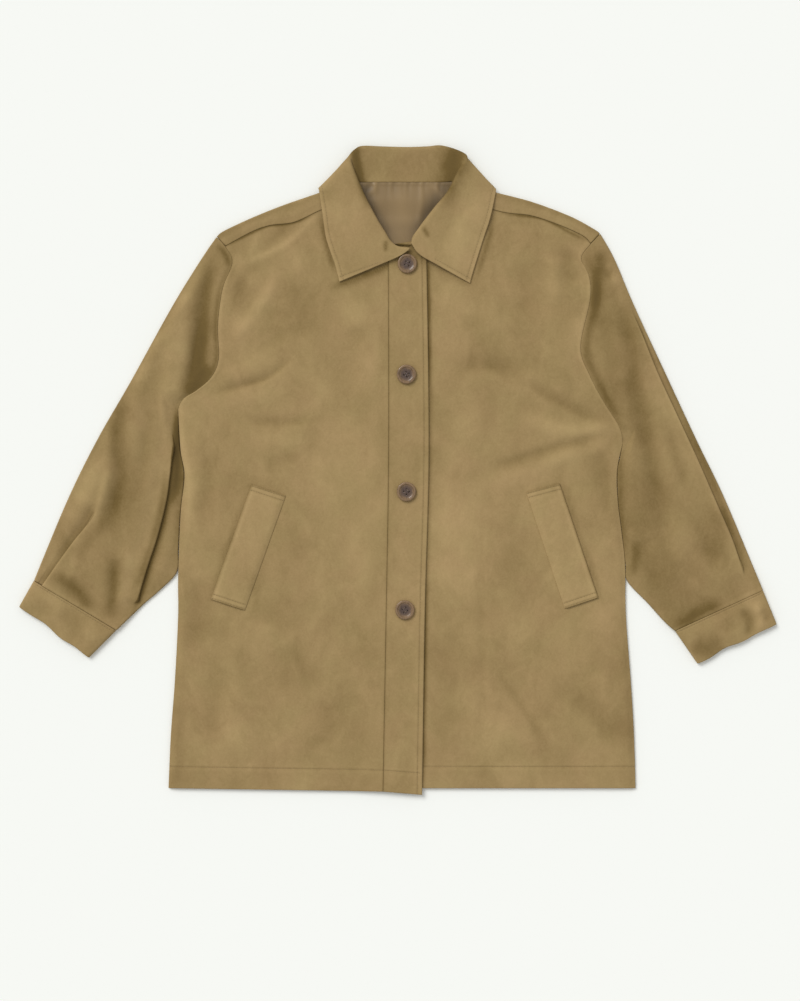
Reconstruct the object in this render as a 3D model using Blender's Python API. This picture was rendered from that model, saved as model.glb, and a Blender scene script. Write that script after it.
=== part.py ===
"""A suede jacket, laid flat on its back with its front up and its sleeves out.

The frame is in metres, with +Z up and the surface that it lies on at Z = 0. +Y runs from
the hem to the collar and +X to the wearer's left. Sizes in this file are in millimetres
until METRE turns them into metres. Every piece is one that a maker would cut: a wall of
cloth over a grid of sections, sewn to its neighbours along outlines that both of them
share, with a seam gap between the two edges.
"""

import math
from collections import namedtuple

import bmesh
import bpy
from mathutils import Vector, geometry

METRE = 0.001

# Driving dimensions.
CLOTH = 1.6
DOUBLED_CLOTH = 2.2
COLLAR_CLOTH = 2.0
LINING_CLOTH = 1.0
SEAM_GAP = 0.3
SLEEVE_GAP = 0.45
LAY_GAP = 0.4
AIR = 2.0
BUTTON_DIAMETER = 24.0
BUTTON_THICKNESS = 3.6
BUTTON_HOLE = 2.0
BUTTON_HOLE_PITCH = 4.4

# Heights of the middle of a wall.
BACK_MID = CLOTH / 2
FOLD_RADIUS = (CLOTH + AIR) / 2
LAYER_STEP = CLOTH + 0.5
SLEEVE_LOW = BACK_MID + LAYER_STEP
SLEEVE_TOP = SLEEVE_LOW + 3.0
PLEAT_TOP = SLEEVE_LOW + 2 * LAYER_STEP
CUFF_TOP = 5.6
CUFF_BOTTOM = DOUBLED_CLOTH / 2

# What lies below lifts what lies on it. A pair is where a lift begins and where it is full.
COLLAR_LIFT = 2.7
COLLAR_MIDDLE_X = 12.0
COLLAR_LIFT_ACROSS = (142, 108)
COLLAR_LIFT_UP = (314, 338)
PLACKET_LIFT = 2.0
PLACKET_RAMP = (-64, -20)

# Distances in from a fold or a pleat over which the cloth changes its height.
SIDE_CLOSING = (0, 9)
SIDE_SMOOTHING = (0, 30)
SLEEVE_ROUNDING = (0, 32)
PLEAT_FADE = (13, 42)

# Shares of a length over which the cloth changes: a crease's ends, a sleeve's two seams.
CREASE_END = (-0.1, 0.3)
ARMHOLE_FADE = (0, 0.07)
CUFF_FADE = (0.9, 1)

# The neck seam, and the steps that the body's outlines are cut into.
NECK_SEAM_Y = 358.9
RIGHT_NECK_X = -58.0
LEFT_NECK_X = 68.0
NECK_STEPS = (0.0, 0.2, 0.4, 0.6, 0.8, 1.0)
NECKLINE_RUNS = 4
SIDE_STEPS = (0.0, 0.04, 0.085, 0.15, 0.25, 0.35, 0.45, 0.56, 0.67, 0.78, 0.89, 1.0)
SHOULDER_STEPS = (0.0, 0.06, 0.15, 0.32, 0.54, 0.77, 1.0)
SHOULDER_TIP_IN = 0.04
SHOULDER_SEAM_IN = 0.03
FOLD_SEGMENTS = 4
LINING_ROWS = 5
PLACKET_RUNS = 18
WELT_RUNS = (4, 8)

# The rows of a sleeve, and how they turn round the underarm.
SLEEVE_STEPS = 24
SLEEVE_ROWS = (0.0, 0.04, 0.09, 0.15, 0.23, 0.32, 0.42, 0.52, 0.62, 0.71, 0.79, 0.87, 0.94, 1.0)
ROW_SAMPLES = 12
UNDERARM_TURN = 0.28
UNDERARM_LAG = 0.9
ARMHOLE_DECAY = 8
ROW_BOW = 3.0
ROW_BOW_DECAY = 3
UNDERARM_BOW = 8.0
UNDERARM_BOW_ACROSS = (0.3, 0.8)
UNDERARM_BOW_RISE = (0, 0.12)
UNDERARM_BOW_FALL = (0.5, 0.23)
CUFF_ROWS = (0, 0.5, 1)
CUFF_RUNS = 6

# The sections of a pleat: offsets across it, and for an opening one shares of its height.
PLEAT_TUCK = 9.0
PLEAT_SPREAD = (-3.0, -1.8, -0.6, 0.6, 1.8, 3.0)
PLEAT_STEP = ((-0.9, 0), (0.35, 0.1), (0.25, 0.36), (-0.25, 0.64), (-0.35, 0.9), (0.9, 1))
PLEAT_CLEAR = 14.0
PLEAT_MARGINS = ((4.0, 5.0), (1.0, 4.0))

# The collar's roll, and its fall down to the outer edge.
ROLL_ANGLES = (-90, -30, 30, 90)
COLLAR_FALL_STEPS = (0.1, 0.22, 0.4, 0.6, 0.8, 1.0)
COLLAR_BOW_RISE = (0, 0.16)
COLLAR_BOW_SCALE = 1.15

# A corner this sharp or sharper is cut off when its outline moves inward.
SHARPEST_CORNER = -0.6
WELD_DISTANCE = 0.01
BUTTON_SEGMENTS = 20
HOLE_SEGMENTS = 8

Point = namedtuple("Point", "x y")
Finish = namedtuple("Finish", "colour roughness")
Turning = namedtuple("Turning", "inset above_base below_top")
Crease = namedtuple("Crease", "x0 y0 x1 y1 width rise")
Pleat = namedtuple("Pleat", "down across fold")
Station = namedtuple(
    "Station",
    "neck_x neck_y neck_z roll_x roll_y roll_z edge_x edge_y edge_z turn radius bow")
Side = namedtuple(
    "Side",
    "name outward shoulder_fold shoulder_seam armhole_front armhole_back side_fold"
    " neckline hem_centre sleeve_outer sleeve_inner cuff_outer cuff_inner cuff_pleat inner_pleat"
    " creases sleeve_creases")


def table(row_type, *rows):
    """Rows of numbers with the named columns of their row type."""
    return [row_type(*row) for row in rows]


# The wearer's right side, at -X. A pleat's row gives its place down the sleeve and across
# it, as shares from the armhole and from the outer fold, and whether it is folded there.
RIGHT = Side(
    name="right",
    outward=-1,
    shoulder_fold=table(
        Point, (-227, 290), (-218, 299), (-178, 318), (-140, 333), (-98, 349), (-62, 358)),
    shoulder_seam=table(
        Point, (-216, 278), (-183, 296), (-160, 304), (-130, 308), (-99, 322), (-60, 337)),
    armhole_front=table(
        Point, (-227, 290), (-216, 278), (-207, 258), (-219, 226), (-225, 180), (-224, 138),
        (-233, 115), (-252, 98), (-268, 88), (-275, 76)),
    armhole_back=table(
        Point, (-227, 290), (-218, 277), (-213, 256), (-211, 222), (-213, 180), (-219, 142),
        (-231, 116), (-248, 99), (-266, 86), (-275, 76)),
    side_fold=table(
        Point, (-275, 76), (-272, 24), (-267, -8), (-272, -56), (-275, -135), (-275, -183),
        (-279, -263), (-284, -330), (-287, -398)),
    neckline=table(Point, (-60, 337), (-49, 315), (-36, 297), (-23, 286), (-12.5, 277)),
    hem_centre=Point(-19, -402),
    sleeve_outer=table(
        Point, (-227, 290), (-248, 262), (-284, 205), (-336, 112), (-378, 37), (-413, -38),
        (-455, -139)),
    sleeve_inner=table(
        Point, (-275, 76), (-274.4, 50), (-272.8, 24), (-268, -8), (-272.8, -56), (-275.2, -100),
        (-277, -128), (-296, -149), (-319, -169), (-352, -201)),
    cuff_outer=Point(-473, -171),
    cuff_inner=Point(-386, -235),
    cuff_pleat=table(
        Pleat, (0, 0.2, 0), (0.62, 0.245, 0), (0.71, 0.2475, 0.5), (0.79, 0.235, 1),
        (0.87, 0.185, 1), (0.94, 0.14, 1), (1, 0.143, 1)),
    inner_pleat=table(
        Pleat, (0, 0.895, 0), (0.42, 0.818, 0), (0.52, 0.823, 0.5), (0.62, 0.8025, 1),
        (0.71, 0.78, 1), (0.79, 0.84, 1), (0.87, 0.895, 0.5), (0.94, 0.895, 0), (1, 0.895, 0)),
    creases=table(
        Crease, (-219, 99, -155, 114, 16, -1.4), (-156, 55, -120, 62, 16, -1.2),
        (-200, 265, -168, 205, 18, 1.6), (-240, -300, -180, -370, 28, 1.4)),
    sleeve_creases=table(
        Crease, (-240, 246, -248, 125, 15, -3.6), (-272, 205, -300, 60, 22, 3.2),
        (-345, 60, -360, -30, 16, -2.6), (-352, -110, -372, -180, 14, -2.2),
        (-332, -110, -345, -180, 12, 1.4)),
)

# The wearer's left side, at +X.
LEFT = Side(
    name="left",
    outward=1,
    shoulder_fold=table(
        Point, (252, 294), (245, 301), (215, 318), (166, 336), (122, 349), (71, 358)),
    shoulder_seam=table(
        Point, (240, 281), (230, 291), (202, 304), (166, 316), (128, 321), (75, 336)),
    armhole_front=table(
        Point, (252, 294), (240, 281), (228, 263), (238, 240), (239, 211), (227, 152),
        (239, 116), (256, 84), (276, 52), (280, 32)),
    armhole_back=table(
        Point, (252, 294), (243, 281), (237, 258), (234, 222), (233, 180), (236, 140),
        (245, 104), (258, 76), (272, 51), (280, 32)),
    side_fold=table(
        Point, (280, 32), (273, -2), (274, -40), (279, -81), (283, -119), (284, -183),
        (290, -263), (294, -330), (296, -397)),
    neckline=table(Point, (75, 336), (63, 317), (48, 299), (33, 288), (4, 282)),
    hem_centre=Point(-8, -397),
    sleeve_outer=table(
        Point, (252, 294), (270, 262), (294, 205), (337, 112), (372, 37), (408, -38),
        (455, -151)),
    sleeve_inner=table(
        Point, (280, 32), (277, 14), (273.8, -2), (274.8, -40), (279.8, -81), (284, -119),
        (287, -139), (313, -166), (332, -187), (346, -200)),
    cuff_outer=Point(472, -193),
    cuff_inner=Point(374, -241),
    cuff_pleat=table(
        Pleat, (0, 0.1825, 0), (0.09, 0.14, 0), (0.23, 0.1, 0), (0.32, 0.08, 0.5),
        (0.42, 0.058, 1), (0.52, 0.046, 1), (0.62, 0.043, 1), (0.71, 0.0475, 1),
        (0.79, 0.055, 1), (0.87, 0.082, 1), (0.94, 0.113, 1), (1, 0.148, 1)),
    inner_pleat=[],
    creases=table(
        Crease, (162, 102, 225, 62, 17, -1.6), (181, 22, 262, 47, 16, -1.1),
        (205, 64, 256, 60, 14, 1.0), (225, -282, 276, -342, 24, -1.2)),
    sleeve_creases=table(
        Crease, (277, 222, 289, 118, 16, -2.2), (289, 118, 333, -42, 17, -2.4),
        (385, -52, 384, -102, 15, -2.0)),
)

# Sections of the collar, from each front end round to the middle of the back. A section
# runs from the neck seam up the inside to the roll and down the fall to its outer edge.
# The turn is 0 where the fall lies over the front and 180 where it lies under the back,
# the radius is the roll's, and the bow moves the upper part of the fall toward the hem.
COLLAR_RIGHT = table(
    Station,
    (-4.0, 279.8, 6.8, -1.8, 282.6, 10.4, -73.5, 233.4, 7.4, 0, 1.6, 11.0),
    (-12.5, 280.6, 6.8, -9.5, 285.4, 10.8, -76.0, 243.0, 7.2, 0, 1.8, 3.5),
    (-22.5, 288.6, 6.6, -16.5, 294.0, 11.4, -79.5, 256.0, 7.2, 0, 2.1, 1.0),
    (-35.5, 299.5, 6.2, -25.0, 307.5, 11.8, -85.5, 273.0, 7.2, 0, 2.4, 0),
    (-47.5, 317.5, 6.2, -34.0, 324.0, 12.0, -90.8, 291.0, 7.5, 0, 2.6, 0),
    (-57.0, 337.0, 7.4, -44.0, 344.0, 12.4, -94.6, 318.0, 8.8, 0, 2.8, 0),
    (-59.4, 351.0, 8.0, -58.0, 378.0, 12.0, -98.6, 345.0, 9.8, 20, 2.6, 0),
    (-60.5, 361.0, 6.6, -62.0, 394.0, 9.0, -101.5, 354.8, 5.6, 90, 2.0, 0),
    (-55.0, 360.8, 5.6, -54.5, 401.0, 5.8, -93.0, 349.5, 1.3, 158, 2.4, 0),
    (-44.0, 359.4, 5.2, -44.0, 404.8, 4.8, -72.0, 346.0, 1.0, 180, 2.6, 0))
COLLAR_BACK = table(
    Station,
    (-18.0, 359.4, 5.2, -17.0, 404.4, 4.8, -26.0, 344.0, 1.0, 180, 2.8, 0),
    (12.0, 359.4, 5.2, 12.0, 404.0, 4.8, 12.0, 344.0, 1.0, 180, 2.8, 0),
    (36.0, 359.4, 5.2, 36.0, 404.6, 4.8, 50.0, 344.0, 1.0, 180, 2.8, 0))
COLLAR_LEFT = table(
    Station,
    (19.0, 285.4, 6.2, 17.2, 288.4, 10.6, 89.3, 231.5, 7.4, 0, 1.8, 11.0),
    (34.0, 290.6, 6.2, 24.5, 297.5, 11.6, 93.5, 247.0, 7.2, 0, 2.1, 4.0),
    (47.6, 301.0, 6.0, 34.0, 310.5, 12.4, 100.0, 268.0, 7.2, 0, 2.5, 1.0),
    (61.5, 318.6, 6.2, 47.0, 327.0, 13.2, 107.0, 290.0, 7.5, 0, 2.8, 0),
    (71.4, 336.4, 7.4, 61.5, 344.5, 14.0, 114.5, 313.0, 8.8, 0, 3.0, 0),
    (69.4, 350.0, 8.0, 75.5, 371.0, 14.4, 122.6, 342.0, 9.8, 20, 3.0, 0),
    (68.2, 361.2, 7.0, 90.0, 391.0, 10.8, 126.5, 354.5, 6.4, 90, 2.0, 0),
    (62.4, 360.8, 5.8, 80.0, 398.6, 6.6, 117.5, 351.0, 1.2, 150, 2.6, 0),
    (52.0, 359.4, 5.2, 54.0, 404.6, 5.0, 84.0, 346.0, 1.0, 180, 2.6, 0))

PLACKET_SEAM = table(Point, (-12.5, 277), (-12, 24), (-15, -176), (-19, -402))
PLACKET_EDGE = table(Point, (36, 271), (38, 24), (33, -180), (30, -405))
PLACKET_TOP = table(Point, (-12.5, 277), (16, 277), (36, 271))
BUTTON_CENTRES = table(Point, (11, 256), (10, 118), (10, -28), (8, -175))
WELT_RIGHT = table(Point, (-183, -19), (-140, -33), (-191, -176), (-234, -162))
WELT_LEFT = table(Point, (201, -18), (159, -29), (207, -174), (249, -160))

SUEDE = Finish((0.333, 0.235, 0.107, 1.0), 0.95)
SATIN = Finish((0.216, 0.147, 0.078, 1.0), 0.45)
HORN = Finish((0.150, 0.100, 0.058, 1.0), 0.35)


# The button's turned section, from under its middle round the rim to the dish: how far in
# from the outside, and how far above the base or below the top.
BUTTON_SECTION = table(
    Turning, (BUTTON_DIAMETER / 2, 0, None), (2.0, 0, None), (0.5, 0.9, None), (0, 2.0, None),
    (0.6, None, 0.5), (1.6, None, 0), (2.6, None, 0.3), (3.6, None, 1.0),
    (BUTTON_DIAMETER / 2, None, 1.0))


def clear_scene():
    """Removes the objects that a new file starts with."""
    for thing in list(bpy.data.objects):
        bpy.data.objects.remove(thing)


def smoothstep(begin, full, value):
    """0 up to where it begins, 1 from where it is full, and a soft rise between the two."""
    share = min(max((value - begin) / (full - begin), 0.0), 1.0)
    return share * share * (3 - 2 * share)


def mix(first, second, share):
    """The value at a share of the way from first to second."""
    return first + (second - first) * share


def mix_points(first, second, share):
    """The place at a share of the way from first to second."""
    return Point(mix(first[0], second[0], share), mix(first[1], second[1], share))


def fractions_along(line):
    """The share of a line's length at each of its points."""
    marks = [0.0]
    for before, after in zip(line, line[1:]):
        marks.append(marks[-1] + math.dist(before[:2], after[:2]))
    return [mark / marks[-1] for mark in marks]


def run_at(marks, fraction):
    """The run between two marks that holds a fraction, and the share of it before that."""
    index = 0
    while index < len(marks) - 2 and fraction > marks[index + 1]:
        index += 1
    return index, (fraction - marks[index]) / (marks[index + 1] - marks[index])


def on_line(line, fraction):
    """The place at a share of the length of a line with straight runs."""
    index, share = run_at(fractions_along(line), fraction)
    return mix_points(line[index], line[index + 1], share)


def on_curve(line, fraction):
    """The place at a share of the length of a smooth curve through a line's points."""
    index, share = run_at(fractions_along(line), fraction)
    start, end = (Vector(line[step][:2]) for step in (index, index + 1))
    slope_in = (end - Vector(line[max(index - 1, 0)][:2])) / 2
    slope_out = (Vector(line[min(index + 2, len(line) - 1)][:2]) - start) / 2
    cubic = 2 * (start - end) + slope_in + slope_out
    square = 3 * (end - start) - 2 * slope_in - slope_out
    return Point(*(((cubic * share + square) * share + slope_in) * share + start))


def divided(line, count):
    """Places in equal steps along a smooth curve through a line's points."""
    return [on_curve(line, step / count) for step in range(count + 1)]


def at_shares(line, shares):
    """Places at given shares of the length of a smooth curve through a line's points."""
    return [on_curve(line, share) for share in shares]


def nearest_on(line, x, y):
    """The distance from a place to a line, and the share of the line's length there."""
    marks = fractions_along(line)
    best = (math.inf, 0.0)
    for index, (start, end) in enumerate(zip(line, line[1:])):
        run = Vector((end[0] - start[0], end[1] - start[1]))
        offset = Vector((x - start[0], y - start[1]))
        share = min(max(offset.dot(run) / run.length_squared, 0.0), 1.0)
        distance = (offset - run * share).length
        if distance < best[0]:
            best = (distance, mix(marks[index], marks[index + 1], share))
    return best


def crease_height(creases, x, y):
    """What soft ridges and troughs add to a sheet's height at a place."""
    height = 0.0
    for crease in creases:
        distance, share = nearest_on([crease[0:2], crease[2:4]], x, y)
        ends = smoothstep(*CREASE_END, share) * smoothstep(*CREASE_END, 1 - share)
        height += crease.rise * ends * math.exp(-(distance / crease.width) ** 2)
    return height


def inset_loop(loop, gap):
    """A closed outline with all its sides moved inward by a gap."""
    area = sum(
        before[0] * after[1] - after[0] * before[1]
        for before, after in zip(loop, loop[1:] + loop[:1]))
    turn = math.copysign(1.0, area)
    moved = []
    for index, corner in enumerate(loop):
        here = Vector(corner[:2])
        before = Vector(loop[index - 1][:2])
        after = Vector(loop[(index + 1) % len(loop)][:2])
        run_in = (here - before).normalized()
        run_out = (after - here).normalized()
        inward_in = Vector((-run_in.y, run_in.x)) * turn
        inward_out = Vector((-run_out.y, run_out.x)) * turn
        corner_cosine = max(inward_in.dot(inward_out), SHARPEST_CORNER)
        shift = (inward_in + inward_out) * (gap / (1 + corner_cosine))
        moved.append(Point(*(here + shift)))
    return moved


def inset_frame(top, bottom, start, end, gap):
    """Four outlines that share their corners, moved inward together."""
    loop = top + end[1:] + bottom[::-1][1:] + start[::-1][1:-1]
    moved = inset_loop(loop, gap)
    at_end = len(top) - 1
    at_bottom = at_end + len(end) - 1
    at_start = at_bottom + len(bottom) - 1
    return (moved[:at_end + 1], moved[at_bottom:at_start + 1][::-1],
            ([*moved[at_start:], moved[0]])[::-1], moved[at_end:at_bottom + 1])


def coons_point(top, bottom, start, end, corners, across, down):
    """The place inside four outlines, from the places across and down it on each."""
    near_top = mix_points(corners[0], corners[1], across)
    near_bottom = mix_points(corners[2], corners[3], across)
    ruled = mix_points(top, bottom, down)
    sides = mix_points(start, end, across)
    flat = mix_points(near_top, near_bottom, down)
    return Point(ruled.x + sides.x - flat.x, ruled.y + sides.y - flat.y)


def coons_grid(top, bottom, start, end):
    """Rows of places inside four outlines, one place for each pair of their points."""
    corners = (top[0], top[-1], bottom[0], bottom[-1])
    columns = [mix(*pair, 0.5) for pair in zip(fractions_along(top), fractions_along(bottom))]
    rows = [mix(*pair, 0.5) for pair in zip(fractions_along(start), fractions_along(end))]
    return [[coons_point(top[column], bottom[column], start[row], end[row], corners, across, down)
             for column, across in enumerate(columns)]
            for row, down in enumerate(rows)]


def add_grid(sheet, grid):
    """Adds rows of places in millimetres to a sheet, as quads."""
    rows = len(grid) - 1
    columns = len(grid[0]) - 1
    made = bmesh.ops.create_grid(sheet, x_segments=columns, y_segments=rows, size=1)
    for vertex in made["verts"]:
        row = round((vertex.co.y + 1) / 2 * rows)
        column = round((vertex.co.x + 1) / 2 * columns)
        vertex.co = Vector(grid[row][column]) * METRE


def weld(sheet):
    """Joins the points that neighbouring grids share."""
    bmesh.ops.remove_doubles(sheet, verts=sheet.verts[:], dist=WELD_DISTANCE * METRE)


def finish_object(name, sheet, finish):
    """A named object with its own material from a bmesh, its faces turned outward."""
    bmesh.ops.recalc_face_normals(sheet, faces=sheet.faces[:])
    mesh = bpy.data.meshes.new(name)
    sheet.to_mesh(mesh)
    sheet.free()
    made = bpy.data.objects.new(name, mesh)
    bpy.context.scene.collection.objects.link(made)
    material = bpy.data.materials.new(name)
    material.use_nodes = True
    shader = material.node_tree.nodes["Principled BSDF"]
    shader.inputs["Base Color"].default_value = finish.colour
    shader.inputs["Roughness"].default_value = finish.roughness
    shader.inputs["Metallic"].default_value = 0.0
    mesh.materials.append(material)
    return made


def flat_wall(name, grid, thickness, finish=SUEDE):
    """A wall that stands on a grid of its lower side."""
    sheet = bmesh.new()
    add_grid(sheet, grid)
    raised = bmesh.ops.extrude_face_region(sheet, geom=sheet.faces[:], use_keep_orig=True)
    lifted = [item for item in raised["geom"] if isinstance(item, bmesh.types.BMVert)]
    bmesh.ops.translate(sheet, vec=(0, 0, thickness * METRE), verts=lifted)
    return finish_object(name, sheet, finish)


def folded_wall(name, grids, thickness, even=True):
    """A wall with half of its thickness to each side of one or more joined grids."""
    sheet = bmesh.new()
    for grid in grids:
        add_grid(sheet, grid)
    weld(sheet)
    made = finish_object(name, sheet, SUEDE)
    wall = made.modifiers.new("wall", "SOLIDIFY")
    wall.thickness = thickness * METRE
    wall.offset = 0.0
    wall.use_even_offset = even
    return made


def tube_wall(name, outer, inner):
    """A flattened tube from its outer and inner skin, each a closed ring for every row."""
    sheet = bmesh.new()
    ends = [[outer[row], inner[row]] for row in (0, -1)]
    for rings in (outer, inner, *ends):
        add_grid(sheet, [[*ring, ring[0]] for ring in rings])
    weld(sheet)
    return finish_object(name, sheet, SUEDE)


def back_lift(x, y):
    """How far the back is lifted by the collar's fall below it."""
    across = smoothstep(*COLLAR_LIFT_ACROSS, abs(x - COLLAR_MIDDLE_X))
    return COLLAR_LIFT * across * smoothstep(*COLLAR_LIFT_UP, y)


def front_base(side, x, y):
    """The lower height of a front at a place."""
    edge, _ = nearest_on(side.side_fold, x, y)
    creases = crease_height(side.creases, x, y) * smoothstep(*SIDE_SMOOTHING, edge)
    air = mix(LAY_GAP, AIR, smoothstep(*SIDE_CLOSING, edge)) + creases
    placket = PLACKET_LIFT * smoothstep(*PLACKET_RAMP, x) if side is RIGHT else 0.0
    return back_lift(x, y) + CLOTH + max(air, LAY_GAP) + placket


def front_grid(side):
    """The places of a front: shoulder and neck, hem, armhole and side, centre edge."""
    top = at_shares(side.shoulder_seam, SHOULDER_STEPS) + divided(side.neckline, NECKLINE_RUNS)[1:]
    start = side.armhole_front[1:] + at_shares(side.side_fold, SIDE_STEPS[1:])
    hem_line = [start[-1], side.hem_centre]
    bottom = [on_line(hem_line, share) for share in fractions_along(top)]
    centre = PLACKET_SEAM if side is RIGHT else [top[-1], side.hem_centre]
    end = [on_line(centre, share) for share in fractions_along(start)]
    return coons_grid(*inset_frame(top, bottom, start, end, SEAM_GAP / 2))


def build_front(side):
    """A front, from the shoulder seam to the hem and from the side to its centre edge."""
    grid = [[(*place, front_base(side, *place)) for place in row] for row in front_grid(side)]
    flat_wall(f"front_{side.name}", grid, CLOTH)
    return grid


def height_on(grid, x, y):
    """The height of a faceted sheet at a place, whichever way its quads are split."""
    height = -math.inf
    for upper, lower in zip(grid, grid[1:]):
        for corners in zip(upper, upper[1:], lower[1:], lower):
            for index in range(4):
                split = [Vector(corners[(index + step) % 4]) for step in range(3)]
                flat = [Vector((*corner[:2], 0)) for corner in split]
                spot = Vector((x, y, 0))
                if geometry.intersect_point_tri(spot, *flat):
                    height = max(height, geometry.barycentric_transform(spot, *flat, *split).z)
    return height


def shifted(line, distance):
    """A line with straight runs, moved to the left of its direction."""
    moved = []
    for index, place in enumerate(line):
        before = Vector(line[max(index - 1, 0)][:2])
        after = Vector(line[min(index + 1, len(line) - 1)][:2])
        run = (after - before).normalized()
        moved.append(Point(place[0] - run.y * distance, place[1] + run.x * distance))
    return moved


def shoulder_start(side):
    """The line where the back starts to turn up over a shoulder, from its tip to the neck."""
    silhouette = at_shares(side.shoulder_fold, SHOULDER_STEPS)
    silhouette[0] = mix_points(silhouette[0], silhouette[1], SHOULDER_TIP_IN)
    return shifted(silhouette, side.outward * (FOLD_RADIUS + CLOTH / 2))


def back_frame():
    """The back's outlines: shoulders and neck, hem, and the two armholes and sides."""
    shoulders = {side.name: shoulder_start(side) for side in (RIGHT, LEFT)}
    neck_points = [
        Point(mix(RIGHT_NECK_X, LEFT_NECK_X, share), NECK_SEAM_Y) for share in NECK_STEPS]
    top = shoulders["right"] + neck_points + shoulders["left"][::-1]
    sides = [
        [shoulders[side.name][0], *side.armhole_back[1:], *at_shares(side.side_fold, SIDE_STEPS[1:])]
        for side in (RIGHT, LEFT)]
    hem = [mix_points(sides[0][-1], sides[1][-1], share) for share in fractions_along(top)]
    return inset_frame(top, hem, *sides, SEAM_GAP / 2)


def wrap_grid(side, start):
    """The back's wrap over a shoulder: round the fold, then down to the forward seam."""
    apex = shifted(start, -side.outward * FOLD_RADIUS)
    low = [BACK_MID + back_lift(*place) for place in start]
    grid = []
    for step in range(FOLD_SEGMENTS + 1):
        angle = math.pi * step / FOLD_SEGMENTS
        grid.append([
            (*mix_points(near, far, math.sin(angle)), base + FOLD_RADIUS * (1 - math.cos(angle)))
            for near, far, base in zip(start, apex, low)])
    seam = shifted(at_shares(side.shoulder_seam, SHOULDER_STEPS), -side.outward * SEAM_GAP / 2)
    seam[0] = mix_points(seam[0], seam[1], SHOULDER_SEAM_IN)
    over = [(*place, front_base(side, *place) + CLOTH / 2) for place in seam]
    grid.append([tuple(mix(*pair, 0.5) for pair in zip(*ends)) for ends in zip(grid[-1], over)])
    grid.append(over)
    return grid


def build_back():
    """The back, with its wraps over the shoulders, and the lining that shows in the neck."""
    top, hem, start, end = back_frame()
    plan = coons_grid(top, hem, start, end)
    grid = [[(*place, BACK_MID + back_lift(*place)) for place in row] for row in plan]
    count = len(SHOULDER_STEPS)
    wraps = [wrap_grid(RIGHT, top[:count]), wrap_grid(LEFT, top[-count:][::-1])]
    folded_wall("back", [grid, *wraps], CLOTH)
    on_back = (CLOTH + SEAM_GAP * 2) / 2
    patch = [[(x, y, z + on_back) for x, y, z in row[count:-count]] for row in grid[:LINING_ROWS]]
    flat_wall("back_lining", patch, LINING_CLOTH, SATIN)


def sleeve_plan(side, armhole):
    """The outlines of one layer of a sleeve: armhole, cuff seam, outer and inner fold."""
    return inset_frame(
        list(armhole), [side.sleeve_outer[-1], side.sleeve_inner[-1]],
        divided(side.sleeve_outer, SLEEVE_STEPS), divided(side.sleeve_inner, SLEEVE_STEPS),
        SLEEVE_GAP)


def on_plan(plan, across, down):
    """The place on one layer of a sleeve at shares of its width and of its length.

    The rows turn round the underarm first: the inner fold lags behind the outer one, and
    the armhole's curve dies away fast and then turns over, so that they bow outward.
    """
    top, bottom, start, end = plan
    corners = (top[0], top[-1], bottom[0], bottom[-1])
    lag = mix(down, max(down - UNDERARM_TURN, 0) / (1 - UNDERARM_TURN), UNDERARM_LAG)
    straight = 1 - (1 - down) ** ARMHOLE_DECAY + ROW_BOW * down * (1 - down) ** ROW_BOW_DECAY
    place = coons_point(
        on_line(top, across), mix_points(bottom[0], bottom[-1], across),
        on_line(start, down), on_line(end, lag), corners, across, straight)
    near_fold = 1 - math.exp(-(1 - across) * math.dist(top[0], top[-1]) / UNDERARM_BOW)
    bow = UNDERARM_BOW * near_fold * smoothstep(*UNDERARM_BOW_ACROSS, across)
    bow *= smoothstep(*UNDERARM_BOW_RISE, down) * smoothstep(*UNDERARM_BOW_FALL, down)
    return Point(place.x + math.copysign(bow, top[0].x), place.y)


def row_width(plan, down):
    """The length of one row of a sleeve."""
    places = [on_plan(plan, step / ROW_SAMPLES, down) for step in range(ROW_SAMPLES + 1)]
    return sum(math.dist(*pair) for pair in zip(places, places[1:]))


def pleat_on_row(pleat, down):
    """Where a pleat's edge crosses a row, and how far it is folded there: 0, a half or 1."""
    index, share = run_at([mark.down for mark in pleat], down)
    fold = mix(pleat[index].fold, pleat[index + 1].fold, share)
    return mix(pleat[index].across, pleat[index + 1].across, share), math.floor(fold * 2 + 0.5) / 2


def pleat_section(fold, inner_on_top):
    """The offsets and heights across a pleat, from the outer side of the sleeve inward.

    A pleat that opens is first an upright step between the two heights and then flat.
    """
    bend = LAYER_STEP / 2
    nose = CLOTH / 2
    if fold == 1:
        section = [
            (PLEAT_TUCK, SLEEVE_LOW), (PLEAT_TUCK + bend, SLEEVE_LOW + bend),
            (PLEAT_TUCK, SLEEVE_LOW + LAYER_STEP), (nose + bend, PLEAT_TOP - LAYER_STEP),
            (nose, PLEAT_TOP - bend), (nose + bend, PLEAT_TOP)]
    else:
        section = [
            (offset, mix(SLEEVE_LOW, PLEAT_TOP, share)) for offset, share in PLEAT_STEP]
    if not inner_on_top:
        section = [(-offset, height) for offset, height in section[::-1]]
    return section


def sleeve_height(side, place, across, down, width, pleats):
    """The middle height of a sleeve's upper layer where it isn't in a pleat."""
    rise = smoothstep(*SLEEVE_ROUNDING, min(across, 1 - across) * width)
    height = mix(SLEEVE_LOW, SLEEVE_TOP, rise)
    height = max(height + crease_height(side.sleeve_creases, *place) * rise, SLEEVE_LOW)
    height = mix(height, CUFF_TOP, smoothstep(*CUFF_FADE, down))
    for centre, fold, inner_on_top in pleats:
        if fold:
            below = across < centre if inner_on_top else across > centre
            away = smoothstep(*PLEAT_FADE, abs(across - centre) * width)
            height = SLEEVE_LOW if below else mix(PLEAT_TOP, height, away)
    return height


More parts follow.
